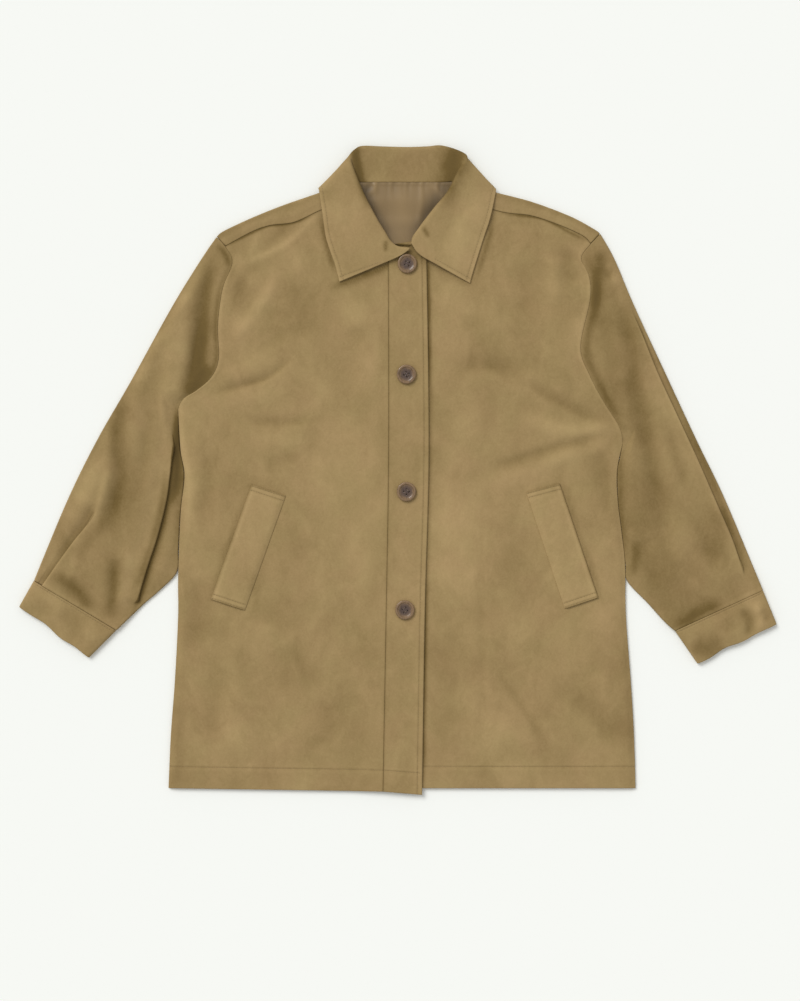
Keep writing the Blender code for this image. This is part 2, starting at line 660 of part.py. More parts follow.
def sleeve_columns(side, upper_plan, down, width, edge):
    """Where the columns of a sleeve's upper layer lie on a row, and its pleats.

    A column is a share of the width and, inside a pleat, the height that it has there.
    """
    marks = fractions_along(upper_plan[0])[1:-1]
    pleats = []
    stops = [(0.0, edge, edge)]
    for line, inner_on_top in ((side.cuff_pleat, True), (side.inner_pleat, False)):
        if line:
            centre, fold = pleat_on_row(line, down)
            centre = min(centre, 1 - PLEAT_CLEAR / width)
            pleats.append((centre, fold, inner_on_top))
            before, after = PLEAT_MARGINS[fold == 1]
            stops.append((line[0].across, centre - before / width, centre + after / width))
    stops.append((1.0, 1 - edge, 1 - edge))
    columns = [(edge, None)]
    for index, (stop, after) in enumerate(zip(stops, stops[1:])):
        for mark in marks:
            if stop[0] < mark <= after[0]:
                part = (mark - stop[0]) / (after[0] - stop[0])
                columns.append((mix(stop[2], after[1], part) if down else mark, None))
        if index < len(pleats):
            centre, fold, inner_on_top = pleats[index]
            section = [(offset, None) for offset in PLEAT_SPREAD]
            if fold:
                section = pleat_section(fold, inner_on_top)
            columns += [(centre + offset / width, height) for offset, height in section]
    columns.append((1 - edge, None))
    return columns, pleats


def sleeve_ring(side, upper_plan, lower_plan, down):
    """The skins of one ring of a sleeve: over its top from the outer fold, then back below."""
    width = row_width(upper_plan, down)
    seam = 1 - smoothstep(*ARMHOLE_FADE, down)
    bend = mix(LAYER_STEP / 2, FOLD_RADIUS, seam)
    columns, pleats = sleeve_columns(side, upper_plan, down, width, (CLOTH / 2 + bend) / width)
    ring = []
    for across, height in columns:
        if height is None:
            place = on_plan(upper_plan, across, down)
            height = sleeve_height(side, place, across, down, width, pleats)
            origin = on_plan(upper_plan, across, 0)
            height = mix(height, front_base(side, *origin) + CLOTH / 2, seam)
        ring.append((across * width, height))
    nose = CLOTH / 2
    below = [mark * width for mark in fractions_along(lower_plan[0])[1:-1]]
    ring.append((width - nose, (ring[-1][1] + BACK_MID) / 2))
    ring += [(along, BACK_MID) for along in (width - nose - bend, *below[::-1], nose + bend)]
    ring.append((nose, (ring[0][1] + BACK_MID) / 2))
    skins = []
    for gap in (-CLOTH / 2, CLOTH / 2):
        skin = []
        for index, (along, height) in enumerate(inset_loop(ring, gap)):
            plan = upper_plan if index <= len(columns) else lower_plan
            skin.append((*on_plan(plan, along / width, down), height))
        skins.append(skin)
    return skins


def build_sleeve(side):
    """A sleeve, from the armhole seam to the cuff seam."""
    upper_plan = sleeve_plan(side, side.armhole_front)
    lower_plan = sleeve_plan(side, side.armhole_back)
    rings = [sleeve_ring(side, upper_plan, lower_plan, down) for down in SLEEVE_ROWS]
    tube_wall(f"sleeve_{side.name}", *zip(*rings))


def build_cuff(side):
    """A cuff, from its seam with the sleeve to its open end."""
    corners = inset_loop(
        [side.sleeve_outer[-1], side.sleeve_inner[-1], side.cuff_inner, side.cuff_outer],
        SEAM_GAP / 2)
    half = (CUFF_TOP - CUFF_BOTTOM) / 2
    nose = DOUBLED_CLOTH / 2
    rings = []
    for down in CUFF_ROWS:
        near = mix_points(corners[0], corners[3], down)
        far = mix_points(corners[1], corners[2], down)
        width = math.dist(near, far)
        flat = [
            mix(nose + half, width - nose - half, step / CUFF_RUNS) for step in range(CUFF_RUNS + 1)]
        ring = [(along, CUFF_TOP) for along in flat]
        ring.append((width - nose, CUFF_BOTTOM + half))
        ring += [(along, CUFF_BOTTOM) for along in flat[::-1]]
        ring.append((nose, CUFF_BOTTOM + half))
        rings.append([
            [(*mix_points(near, far, along / width), height)
             for along, height in inset_loop(ring, gap)]
            for gap in (-DOUBLED_CLOTH / 2, DOUBLED_CLOTH / 2)])
    tube_wall(f"cuff_{side.name}", *zip(*rings))


def collar_section(station, outward):
    """The places across the collar, from the neck seam over the roll to the outer edge."""
    neck = Vector(station[0:3])
    roll = Vector(station[3:6])
    edge = Vector(station[6:9])
    run = Vector((roll.x - neck.x, roll.y - neck.y, 0)).normalized()
    side_way = Vector((run.y, -run.x, 0)) * outward
    turn = math.radians(station.turn)
    up = Vector((0, 0, 1)) * math.cos(turn) + side_way * math.sin(turn)
    centre = roll - run * station.radius
    section = [neck, neck.lerp(centre - up * station.radius, 0.5)]
    for angle in ROLL_ANGLES:
        tilt = math.radians(angle)
        section.append(centre + (run * math.cos(tilt) + up * math.sin(tilt)) * station.radius)
    fall = section[-1]
    along = (edge - fall).normalized()
    hemward = Vector((-along.y * outward, along.x * outward, 0)) * -1
    if hemward.y > 0:
        hemward.negate()
    for share in COLLAR_FALL_STEPS:
        bow = station.bow * smoothstep(*COLLAR_BOW_RISE, share) * (1 - share) * COLLAR_BOW_SCALE
        section.append(fall.lerp(edge, share) + hemward * bow)
    return [tuple(place) for place in section]


def build_collar():
    """The collar, from one front end round the back of the neck to the other."""
    sections = [collar_section(station, -1) for station in COLLAR_RIGHT]
    sections += [collar_section(station, 1) for station in COLLAR_BACK + COLLAR_LEFT[::-1]]
    folded_wall("collar", [sections], COLLAR_CLOTH, even=False)


def build_placket():
    """The buttonhole placket along the centre edge of the right front."""
    shares = [step / PLACKET_RUNS for step in range(PLACKET_RUNS + 1)]
    bottom = [
        mix_points(PLACKET_SEAM[-1], PLACKET_EDGE[-1], share)
        for share in fractions_along(PLACKET_TOP)]
    frame = inset_frame(
        PLACKET_TOP, bottom, [on_line(PLACKET_SEAM, share) for share in shares],
        [on_line(PLACKET_EDGE, share) for share in shares], SEAM_GAP / 2)
    low = CLOTH + AIR + PLACKET_LIFT
    grid = [[(*place, low) for place in row] for row in coons_grid(*frame)]
    flat_wall("placket", grid, DOUBLED_CLOTH)


def build_welt(side, corners, front):
    """A pocket welt that lies on a front."""
    across, down = WELT_RUNS
    top = [mix_points(corners[0], corners[1], step / across) for step in range(across + 1)]
    bottom = [mix_points(corners[3], corners[2], step / across) for step in range(across + 1)]
    grid = []
    for step in range(down + 1):
        row = [mix_points(*ends, step / down) for ends in zip(top, bottom)]
        grid.append([(*place, height_on(front, *place) + CLOTH + SEAM_GAP) for place in row])
    flat_wall(f"welt_{side.name}", grid, DOUBLED_CLOTH)


def build_button(index, centre):
    """A turned button with a raised rim, a dished middle and four holes."""
    low = CLOTH + AIR + PLACKET_LIFT + DOUBLED_CLOTH + SEAM_GAP
    top = low + BUTTON_THICKNESS
    sheet = bmesh.new()
    points = []
    for inset, above_base, below_top in BUTTON_SECTION:
        height = top - below_top if above_base is None else low + above_base
        place = Vector((centre.x + BUTTON_DIAMETER / 2 - inset, centre.y, height))
        points.append(sheet.verts.new(place * METRE))
    lines = [sheet.edges.new(pair) for pair in zip(points, points[1:])]
    bmesh.ops.spin(
        sheet, geom=points + lines, cent=Vector((*centre, 0)) * METRE, axis=(0, 0, 1),
        angle=2 * math.pi, steps=BUTTON_SEGMENTS)
    weld(sheet)
    button = finish_object(f"button_{index}", sheet, HORN)
    holes = bmesh.new()
    half = BUTTON_HOLE_PITCH / 2
    for across, along in ((-half, -half), (half, -half), (half, half), (-half, half)):
        made = bmesh.ops.create_cone(
            holes, cap_ends=True, cap_tris=False, segments=HOLE_SEGMENTS,
            radius1=BUTTON_HOLE / 2 * METRE, radius2=BUTTON_HOLE / 2 * METRE,
            depth=3 * BUTTON_THICKNESS * METRE)
        move = Vector((centre.x + across, centre.y + along, top)) * METRE
        bmesh.ops.translate(holes, vec=move, verts=made["verts"])
    cutter = finish_object(f"button_{index}_holes", holes, HORN)
    cutter.hide_render = True
    cutter.display_type = "WIRE"
    drilled = button.modifiers.new("holes", "BOOLEAN")
    drilled.operation = "DIFFERENCE"
    drilled.solver = "EXACT"
    drilled.object = cutter


def main():
    """Builds every piece of the jacket."""
    clear_scene()
    build_back()
    for side, welt in ((RIGHT, WELT_RIGHT), (LEFT, WELT_LEFT)):
        front = build_front(side)
        build_sleeve(side)
        build_cuff(side)
        build_welt(side, welt, front)
    build_placket()
    build_collar()
    for index, centre in enumerate(BUTTON_CENTRES):
        build_button(index + 1, centre)


main()
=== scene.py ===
"""A suede jacket laid flat on its back, dressed over its CAD frame.

Every piece is a thin shell of cloth on the form of the solid that it stands for. The tables
hold the jacket's sizes in millimetres, and MM turns them into the frame's metres. +X runs
to the wearer's left, +Y from the hem to the collar and +Z up out of the front.
"""

import logging
import math
from collections.abc import Sequence
from dataclasses import dataclass, field
from enum import Enum
from typing import ClassVar

import bmesh
import bpy
import numpy as np
from mathutils import Matrix, Vector


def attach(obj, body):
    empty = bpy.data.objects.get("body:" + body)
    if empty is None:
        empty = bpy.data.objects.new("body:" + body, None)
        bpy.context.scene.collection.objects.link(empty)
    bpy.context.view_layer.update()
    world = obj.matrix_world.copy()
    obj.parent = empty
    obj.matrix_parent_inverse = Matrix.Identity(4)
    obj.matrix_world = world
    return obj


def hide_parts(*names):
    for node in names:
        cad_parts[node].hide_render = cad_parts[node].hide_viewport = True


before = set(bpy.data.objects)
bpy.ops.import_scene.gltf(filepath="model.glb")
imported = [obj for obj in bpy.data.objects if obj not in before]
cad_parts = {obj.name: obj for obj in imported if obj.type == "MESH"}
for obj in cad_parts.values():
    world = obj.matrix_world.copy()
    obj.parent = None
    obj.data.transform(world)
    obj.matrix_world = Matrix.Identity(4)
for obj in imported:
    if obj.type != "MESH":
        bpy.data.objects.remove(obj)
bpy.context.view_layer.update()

LOG = logging.getLogger("jacket")
MM = 0.001
Values = np.ndarray
Table = tuple[tuple[float, ...], ...]

# Sizes that the solids share.
CLOTH = 1.6
DOUBLED_CLOTH = 2.2
COLLAR_CLOTH = 2.0
LINING_CLOTH = 1.0
SEAM_GAP = 0.3
SEAM_TOUCH = 0.02
SIDE_TOUCH = 0.5
LAY_GAP = 0.4
AIR = 2.0
BACK_MID = CLOTH / 2
FOLD_RADIUS = (CLOTH + AIR) / 2
LAYER_STEP = CLOTH + 0.5
SLEEVE_LOW = BACK_MID + LAYER_STEP
SLEEVE_TOP = SLEEVE_LOW + 4.6
PLEAT_TOP = SLEEVE_LOW + 2 * LAYER_STEP
CUFF_TOP = 5.6
CUFF_BOTTOM = DOUBLED_CLOTH / 2
COLLAR_LIFT = 2.7
PLACKET_LIFT = 2.0

# Grid lines: a coarse step over the cloth, and finer ones at its rims and seam lines.
COARSE_STEP = 4.0
RIM_STEP = 0.16
RIM_GROWTH = 0.42
SEAM_STEP = 0.5
SEAM_REACH = 1.4
SEAM_GROWTH = 0.34
SEWN_NOSE = 0.4
# How far the painted shade along a sewn rim reaches.
SEWN_REACH = 1.3
WELD_DISTANCE = 0.002

# Painted shading: how much lighter cloth is painted for each millimetre that a fold lifts it, and
# how much painted shade lies along its sewn rims.
PAINTED_SHADING_PER_MM = 0.016
SEWN_RIM_SHADE = -0.15


class Slot(Enum):
    """The record's material slots."""

    SUEDE = "suede"
    LINING = "lining"
    HORN = "horn"


class Hold(Enum):
    """How a sheet of cloth is held."""

    LAID = "laid"
    FOLDED = "folded"


class Edge(Enum):
    """The four edges of a sheet's grid."""

    TOP = "top"
    BOTTOM = "bottom"
    START = "start"
    END = "end"


def ramp(begin: float, full: float, value: Values | float) -> Values:
    """A soft rise from 0, at the value begin, to 1, at the value full."""
    share = np.clip((np.asarray(value, float) - begin) / (full - begin), 0.0, 1.0)
    return share * share * (3 - 2 * share)


def mix(first: Values | float, second: Values | float, share: Values | float) -> Values:
    """The value at a share of the way from first to second."""
    return first + (second - first) * share


def bell(distance: Values, reach: Values | float) -> Values:
    """A soft hump that is 1 in its middle and has mostly died away at its reach."""
    return np.exp(-((distance / reach) ** 2))


def at_height(plan: Values, height: Values) -> Values:
    """Places on the plan, lifted to a height."""
    return np.concatenate([plan, height[..., None]], axis=-1)


def spline(points: Values, shares: Values) -> Values:
    """A smooth curve through points, read along their first axis.

    Args:
        points: The points, with any number of further axes.
        shares: Where to read, from 0 at the first point to 1 at the last, in even runs.

    Returns:
        The curve's places, one for each share.
    """
    runs = len(points) - 1
    place = np.clip(shares, 0.0, 1.0) * runs
    index = np.minimum(place.astype(int), runs - 1)
    part = (place - index).reshape(-1, *(1,) * (points.ndim - 1))
    start = points[index]
    end = points[index + 1]
    slope_in = (end - points[np.maximum(index - 1, 0)]) / 2
    slope_out = (points[np.minimum(index + 2, runs)] - start) / 2
    cubic = 2 * (start - end) + slope_in + slope_out
    square = 3 * (end - start) - 2 * slope_in - slope_out
    return ((cubic * part + square) * part + slope_in) * part + start


def wave(along: Values, period: float, seed: float) -> Values:
    """An uneven wave between about -1 and 1, such as puckers along a seam.

    Args:
        along: Distances along the seam.
        period: The usual distance between two crests.
        seed: A number that sets this wave apart from others.

    Returns:
        The wave's heights.
    """
    turns = 2 * math.pi * along / period
    total = np.sin(turns + seed) + 0.7 * np.sin(turns * 0.61 + 2.3 * seed)
    return (total + 0.5 * np.sin(turns * 1.47 + 4.1 * seed)) / 1.9


def spacing(length: float, step: float, *lines: float) -> Values:
    """Where grid lines cross a length, closer together at its ends and at seam lines.

    Args:
        length: The length in millimetres.
        step: The distance between lines elsewhere.
        lines: How far along the length each seam line is.

    Returns:
        Shares of the length, from 0 to 1.
    """
    places = [0.0]
    while places[-1] < length:
        here = places[-1]
        steps = [step, RIM_STEP + RIM_GROWTH * max(min(here, length - here), 0.0)]
        for line in lines:
            steps.append(SEAM_STEP + SEAM_GROWTH * max(abs(here - line) - SEAM_REACH, 0.0))
        places.append(here + min(steps))
    return np.array(places) / places[-1]


@dataclass(frozen=True)
class Line:
    """A curve on the plan, held as close points.

    Attributes:
        points: The points, one row each.
    """

    points: Values
    FINENESS: ClassVar[int] = 12

    @classmethod
    def through(cls, *tables: Table) -> "Line":
        """A line of smooth curves through tables of points, with a corner between tables.

        Args:
            tables: Tables of points, each ending where the next one begins.

        Returns:
            The line.
        """
        parts = []
        for table in tables:
            rows = np.array(table, float)
            parts.append(spline(rows, np.linspace(0, 1, (len(rows) - 1) * cls.FINENESS + 1)))
        return cls(np.vstack([parts[0], *(part[1:] for part in parts[1:])]))

    @property
    def marks(self) -> Values:
        """How far along the line each point is, in millimetres."""
        steps = np.linalg.norm(np.diff(self.points, axis=0), axis=1)
        return np.concatenate([[0.0], np.cumsum(steps)])

    @property
    def length(self) -> float:
        """The line's length in millimetres."""
        return float(self.marks[-1])

    def at(self, shares: Values | float) -> Values:
        """The places at shares of the line's length."""
        marks = self.marks / self.length
        return np.stack([np.interp(shares, marks, axis) for axis in self.points.T], axis=-1)

    def nearest(self, x: Values, y: Values) -> tuple[Values, Values]:
        """How places lie to the line.

        Args:
            x: The places' x.
            y: The places' y.

        Returns:
            The distance, positive to the left of the line's direction, and the share of its
            length at the nearest point.
        """
        spots = np.stack([np.ravel(x), np.ravel(y)], axis=-1)
        best = np.full(len(spots), np.inf)
        side = np.ones(len(spots))
        share = np.zeros(len(spots))
        marks = self.marks / self.length
        for index, (start, end) in enumerate(zip(self.points, self.points[1:])):
            run = end - start
            offset = spots - start
            part = np.clip(offset @ run / max(run @ run, 1e-12), 0.0, 1.0)
            gap = offset - part[:, None] * run
            distance = np.hypot(gap[:, 0], gap[:, 1])
            closer = distance < best
            best = np.where(closer, distance, best)
            turn = run[0] * offset[:, 1] - run[1] * offset[:, 0]
            side = np.where(closer, np.where(turn < 0, -1.0, 1.0), side)
            share = np.where(closer, mix(marks[index], marks[index + 1], part), share)
        return (best * side).reshape(np.shape(x)), share.reshape(np.shape(x))


@dataclass(frozen=True)
class Fold:
    """A soft ridge, or a trough where its rise is negative, along a line on the cloth.

    Attributes:
        width: How far from its line the fold has mostly died away.
        rise: Its height in the middle.
        tone: How much lighter it is painted along it, apart from what its height does: nap tone,
            with painted shade and painted highlight along creases, edges and ridges.
        lean: From -1 to 1, how much wider it is to the left of its line than to the right.
        points: The points that its line runs through.
    """

    width: float
    rise: float
    tone: float
    lean: float
    points: Table
    ENDS: ClassVar[float] = 0.28

    def shape(self, x: Values, y: Values) -> Values:
        """How strong the fold is at places, from 0 to 1.

        Args:
            x: The places' x.
            y: Their y.

        Returns:
            The fold's strength at each place.
        """
        distance, share = Line.through(self.points).nearest(x, y)
        reach = self.width * (1 + self.lean * np.sign(distance))
        ends = ramp(-0.05, self.ENDS, share) * ramp(-0.05, self.ENDS, 1 - share)
        return ends * bell(distance, reach)


@dataclass(frozen=True)
class Relief:
    """The folds of one piece, with what they do to its height and its painted tone: nap tone with
    painted shade and highlight.

    Attributes:
        seed: A number that sets its unevenness apart from other pieces'.
        ripple: The height of the slight unevenness that cloth has everywhere.
        folds: The folds, listed one by one.
    """

    seed: float
    ripple: float
    folds: tuple[Fold, ...]

    @classmethod
    def of(cls, seed: float, ripple: float, *rows: tuple[float, ...]) -> "Relief":
        """Folds from rows of their width, rise, tone and lean, and their points' x and y."""
        return cls(seed, ripple, tuple(
            Fold(*row[:4], tuple(zip(row[4::2], row[5::2]))) for row in rows))

    def height(self, x: Values, y: Values) -> Values:
        """What the folds add to the height at places.

        Args:
            x: The places' x.
            y: Their y.

        Returns:
            The heights.
        """
        slow = wave(x + 0.35 * y, 87.0, self.seed) * wave(y - 0.2 * x, 131.0, self.seed + 1)
        quick = wave(x - 0.6 * y, 38.0, self.seed + 2) * wave(y + 0.3 * x, 53.0, self.seed)
        total = self.ripple * (slow + 0.4 * quick)
        for fold in self.folds:
            total = total + fold.rise * fold.shape(x, y)
        return total

    def tone(self, x: Values, y: Values) -> Values:
        """How much lighter places are painted: nap tone with painted shade and painted highlight.

        Args:
            x: The places' x.
            y: Their y.

        Returns:
            The tones.
        """
        total = np.zeros(np.shape(x))
        for fold in self.folds:
            # Each fold's own tone, plus painted shading: lighter for its rise, darker where it
            # sinks.
            total = total + (fold.tone + PAINTED_SHADING_PER_MM * fold.rise) * fold.shape(x, y)
        return total


@dataclass(frozen=True)
class Seam:
    """A line of stitches along one edge of a sheet.

    Attributes:
        edge: The edge that it follows.
        inside: How far in from the edge it is.
        depth: How deep it pulls the cloth in.
        pucker: The height of the puckers beside it.
        span: The shares of the edge between which it runs.
        dark: How much lighter it is painted in its groove, which is less than nothing: a painted
            shade.
    """

    edge: Edge
    inside: float
    depth: float = 0.5
    pucker: float = 0.14
    span: tuple[float, float] = (0.0, 1.0)
    dark: float = -0.07
    WIDTH: ClassVar[float] = 0.85
    REACH: ClassVar[float] = 6.0
    PERIOD: ClassVar[float] = 15.0
    # Where the lips beside the groove lie, and how much lighter they are painted as a painted
    # highlight.
    LIP: ClassVar[float] = 3.2
    LIP_HIGHLIGHT: ClassVar[float] = 0.03

    def height(self, sheet: "Sheet") -> Values:
        """What the seam adds to a sheet's height.

        Args:
            sheet: The sheet that it is sewn on.

        Returns:
            The heights.
        """
        away = sheet.away(self.edge) - self.inside
        puckers = wave(sheet.along(self.edge), self.PERIOD, self.inside)
        groove = -self.depth * bell(away, self.WIDTH)
        return groove + self.pucker * puckers * bell(away, self.REACH)

    def tone(self, sheet: "Sheet") -> Values:
        """Painted highlight on the lips beside the seam, and painted shade in its groove.

        Args:
            sheet: The sheet that it is sewn on.

        Returns:
            The tones.
        """
        away = sheet.away(self.edge) - self.inside
        lips = bell(np.abs(away) - self.LIP, self.LIP / 2)
        return self.dark * bell(away, 1.6 * self.WIDTH) + self.LIP_HIGHLIGHT * lips

    def reach(self, sheet: "Sheet") -> Values:
        """Where along its edge the seam runs, from 0 to 1.

        Args:
            sheet: The sheet that it is sewn on.

        Returns:
            How much of the seam is at each place.
        """
        marks = sheet.along(self.edge)
        share = marks / marks.max()
        first, last = self.span
        return ramp(first - 0.02, first + 0.01, share) * ramp(last + 0.02, last - 0.01, share)


@dataclass
class Sheet:
    """The middle of a wall of cloth, as a grid of places.

    Attributes:
        places: Rows and columns of places.
        rims: The edges where the wall ends, which are rounded.
        sewn: Those that are sewn to another piece, which are sharper and painted darker along
            them, a painted shade.
        tone: How much lighter each place is painted: nap tone with painted shade and painted
            highlight.
        level: An edge where the sheet lies level, so that it meets another one there.
    """

    places: Values
    rims: tuple[Edge, ...] = tuple(Edge)
    sewn: tuple[Edge, ...] = ()
    tone: Values | float = 0.0
    level: Edge | None = None

    def steps(self, axis: int) -> Values:
        """How far each place is along its row, for axis 1, or down its column, for axis 0."""
        runs = np.linalg.norm(np.diff(self.places, axis=axis), axis=2)
        return np.concatenate([np.zeros_like(runs.take([0], axis)), runs.cumsum(axis)], axis)

    def away(self, edge: Edge) -> Values:
        """How far each place is from an edge, along its row or its column.

        Args:
            edge: The edge.

        Returns:
            The distances.
        """
        axis = 0 if edge in (Edge.TOP, Edge.BOTTOM) else 1
        marks = self.steps(axis)
        return marks if edge in (Edge.TOP, Edge.START) else marks.take([-1], axis) - marks

    def along(self, edge: Edge) -> Values:
        """How far each place is along an edge."""
        return self.steps(1 if edge in (Edge.TOP, Edge.BOTTOM) else 0)

    def normals(self) -> Values:
        """The direction that each place faces.

        Returns:
            The directions.
        """
        across = np.gradient(self.places, axis=1)
        down = np.gradient(self.places, axis=0)
        facing = np.cross(down, across)
        facing = facing / np.maximum(np.linalg.norm(facing, axis=2, keepdims=True), 1e-9)
        if self.level is Edge.TOP:
            facing[0] = (0.0, 0.0, 1.0)
        return facing

    def sew(self, seams: Sequence[Seam], share: Values | float = 1.0) -> None:
        """Pulls the sheet in along seams.

        Args:
            seams: The seams.
            share: How strongly, at each place.
        """
        lift = sum(seam.height(self) * seam.reach(self) for seam in seams)
        # The seams' tone: painted shade in their grooves and painted highlight on their lips.
        tone = sum(seam.tone(self) * seam.reach(self) for seam in seams)
        self.places[..., 2] += lift * share
        self.tone = self.tone + tone * share

    def half_thickness(self, thickness: float) -> Values:
        """Half of the wall's thickness at each place, down to nothing at the rims.

        Args:
            thickness: The wall's.

        Returns:
            Half of it, at each place.
        """
        half = thickness / 2
        share = np.ones(self.places.shape[:2])
        for edge in self.rims:
            nose = SEWN_NOSE if edge in self.sewn else half
            share = np.minimum(share, self.away(edge) / nose)
        return half * np.sqrt(1 - (1 - np.clip(share, 0.0, 1.0)) ** 2)

    def skins(self, thickness: float) -> tuple[Values, Values]:
        """The two sides of the wall."""
        offset = self.normals() * self.half_thickness(thickness)[..., None]
        return self.places + offset, self.places - offset

    def on(self, columns: Values, rows: Values, lift: float) -> tuple[Values, Values]:
        """Places on or above the sheet, by fractional columns and rows.

        Args:
            columns: Where to read across.
            rows: Where to read down.
            lift: How far above the sheet's middle the places are, toward +Z.

        Returns:
            The places, and the directions that the sheet faces there.
        """
        normals = self.normals()
        row = np.minimum(rows.astype(int), len(self.places) - 2)
        column = np.minimum(columns.astype(int), self.places.shape[1] - 2)
        down = (rows - row)[:, None]
        across = (columns - column)[:, None]
        read = []
        for grid in (self.places, normals):
            upper = mix(grid[row, column], grid[row, column + 1], across)
            lower = mix(grid[row + 1, column], grid[row + 1, column + 1], across)
            read.append(mix(upper, lower, down))
        facing = read[1] / np.linalg.norm(read[1], axis=1, keepdims=True)
        facing = facing * np.where(facing[:, 2:] < 0, -1.0, 1.0)
        return read[0] + facing * lift, facing

    def inside(self, edge: Edge, distance: float) -> tuple[Values, Values]:
        """The line that lies a distance in from an edge, as fractional columns and rows.

        Args:
            edge: The edge.
            distance: How far in the line is.

        Returns:
            The columns and the rows.
        """
        marks = self.away(edge)
        level = edge in (Edge.TOP, Edge.BOTTOM)
        lines = marks.T if level else marks
        rising = edge in (Edge.TOP, Edge.START)
        count = np.arange(lines.shape[1], dtype=float)
        found = np.array([
            np.interp(distance, line if rising else line[::-1], count if rising else count[::-1])
            for line in lines])
        others = np.arange(len(lines), dtype=float)
        return (others, found) if level else (found, others)


@dataclass(frozen=True)
class Patch:
    """A stretch of cloth between four outlines on the plan.

    Attributes:
        top: From the start to the end, at the top.
        bottom: The same way, at the bottom.
        start: From the top to the bottom, at the start.
        end: The same way, at the end.
    """

    top: Line
    bottom: Line
    start: Line
    end: Line

    def places(self, across: Values, down: Values, gap: float = 0.0) -> Values:
        """A grid of places inside the outlines.

        Args:
            across: Shares across.
            down: Shares down.
            gap: How far inside the outlines the grid stays.

        Returns:
            Rows and columns of x and y.
        """
        width = gap / self.top.length
        height = gap / self.start.length
        across = mix(width, 1 - width, across)
        down = mix(height, 1 - height, down)
        upper, lower = self.top.at(across)[None], self.bottom.at(across)[None]
        left, right = self.start.at(down)[:, None], self.end.at(down)[:, None]
        u, v = across[None, :, None], down[:, None, None]
        corners = mix(
            mix(self.start.at(0.0), self.end.at(0.0), u),
            mix(self.start.at(1.0), self.end.at(1.0), u), v)
        return mix(upper, lower, v) + mix(left, right, u) - corners


class Mesher:
    """Turns grids of places into an object's mesh."""

    def __init__(self, name: str) -> None:
        """Starts an empty mesh.

        Args:
            name: The object's name.
        """
        self.name = name
        self.mesh = bmesh.new()
        # The tone layer holds nap tone together with painted shade and painted highlight.
        self.tone = self.mesh.verts.layers.float.new("tone")

    def grid(self, places: Values, tone: Values | float) -> None:
        """Adds a grid of quads, with one corner at each place.

        Args:
            places: Rows and columns of places in millimetres.
            tone: How much lighter each place is painted: nap tone with painted shade and painted
                highlight.
        """
        rows, columns = places.shape[0] - 1, places.shape[1] - 1
        made = bmesh.ops.create_grid(self.mesh, x_segments=columns, y_segments=rows, size=1)
        spots = (places * MM).tolist()
        tones = np.broadcast_to(tone, places.shape[:2]).tolist()
        for vertex in made["verts"]:
            row = round((vertex.co.y + 1) / 2 * rows)
            column = round((vertex.co.x + 1) / 2 * columns)
            vertex.co = spots[row][column]
            vertex[self.tone] = tones[row][column]

    def sheet(self, sheet: Sheet, thickness: float) -> None:
        """Adds both sides of a wall of cloth.

        Args:
            sheet: The wall's middle.
            thickness: The wall's.
        """
        # Painted shade along the sewn rims, where the seam's groove would lie in shadow.
        shade = sum(bell(sheet.away(edge), SEWN_REACH) for edge in sheet.sewn)
        for skin in sheet.skins(thickness):
            self.grid(skin, sheet.tone + SEWN_RIM_SHADE * shade)

    def blob(self, place: Values, along: Values, up: Values, size: Sequence[float]) -> None:
        """Adds one small rounded shape, such as a stitch.

        Args:
            place: Its middle, in millimetres.
            along: The direction of its length.
            up: The direction of its height.
            size: Its length, width and height.
        """
        forward = Vector(along).normalized()
        side = Vector(up).cross(forward).normalized()
        turn = Matrix((forward, side, forward.cross(side))).transposed().to_4x4()
        scale = Matrix.Diagonal((*(part * MM / 2 for part in size), 1.0))
        bmesh.ops.create_icosphere(
            self.mesh, subdivisions=1, radius=1.0,
            matrix=Matrix.Translation(Vector(place) * MM) @ turn @ scale)

    def finish(self, material: bpy.types.Material, closed: bool = True) -> bpy.types.Object:
        """Makes the object.

        Args:
            material: Its finish.
            closed: Whether its grids meet, so that their shared points are welded.

        Returns:
            The object, linked to the scene.
        """
        if closed:
            bmesh.ops.remove_doubles(self.mesh, verts=self.mesh.verts[:], dist=WELD_DISTANCE * MM)
            bmesh.ops.recalc_face_normals(self.mesh, faces=self.mesh.faces[:])
        for face in self.mesh.faces:
            face.smooth = True
        data = bpy.data.meshes.new(self.name)
        self.mesh.to_mesh(data)
        self.mesh.free()
        data.materials.append(material)
        made = bpy.data.objects.new(self.name, data)
        bpy.context.scene.collection.objects.link(made)
        return made


class Signal:
    """A shader socket that takes part in Python expressions."""

    def __init__(self, shader: "Shader", socket: bpy.types.NodeSocket) -> None:
        """Wraps an output socket of a shader's node."""
        self.shader = shader
        self.socket = socket

    def _maths(self, operation: str, first: object, second: object) -> "Signal":
        """A Math node on two values."""
        return self.shader.node(
            "ShaderNodeMath", {"operation": operation}, {0: first, 1: second})

    def __add__(self, other: "Signal | float") -> "Signal":
        """The sum."""
        return self._maths("ADD", self, other)

    def __sub__(self, other: "Signal | float") -> "Signal":
        """The difference."""
        return self._maths("SUBTRACT", self, other)

    def __rsub__(self, other: "Signal | float") -> "Signal":
        """The difference, from a number."""
        return self._maths("SUBTRACT", other, self)

    def __mul__(self, other: "Signal | float") -> "Signal":
        """The product."""
        return self._maths("MULTIPLY", self, other)

    def __pow__(self, other: "Signal | float") -> "Signal":
        """The power."""
        return self._maths("POWER", self, other)

    __radd__ = __add__
    __rmul__ = __mul__


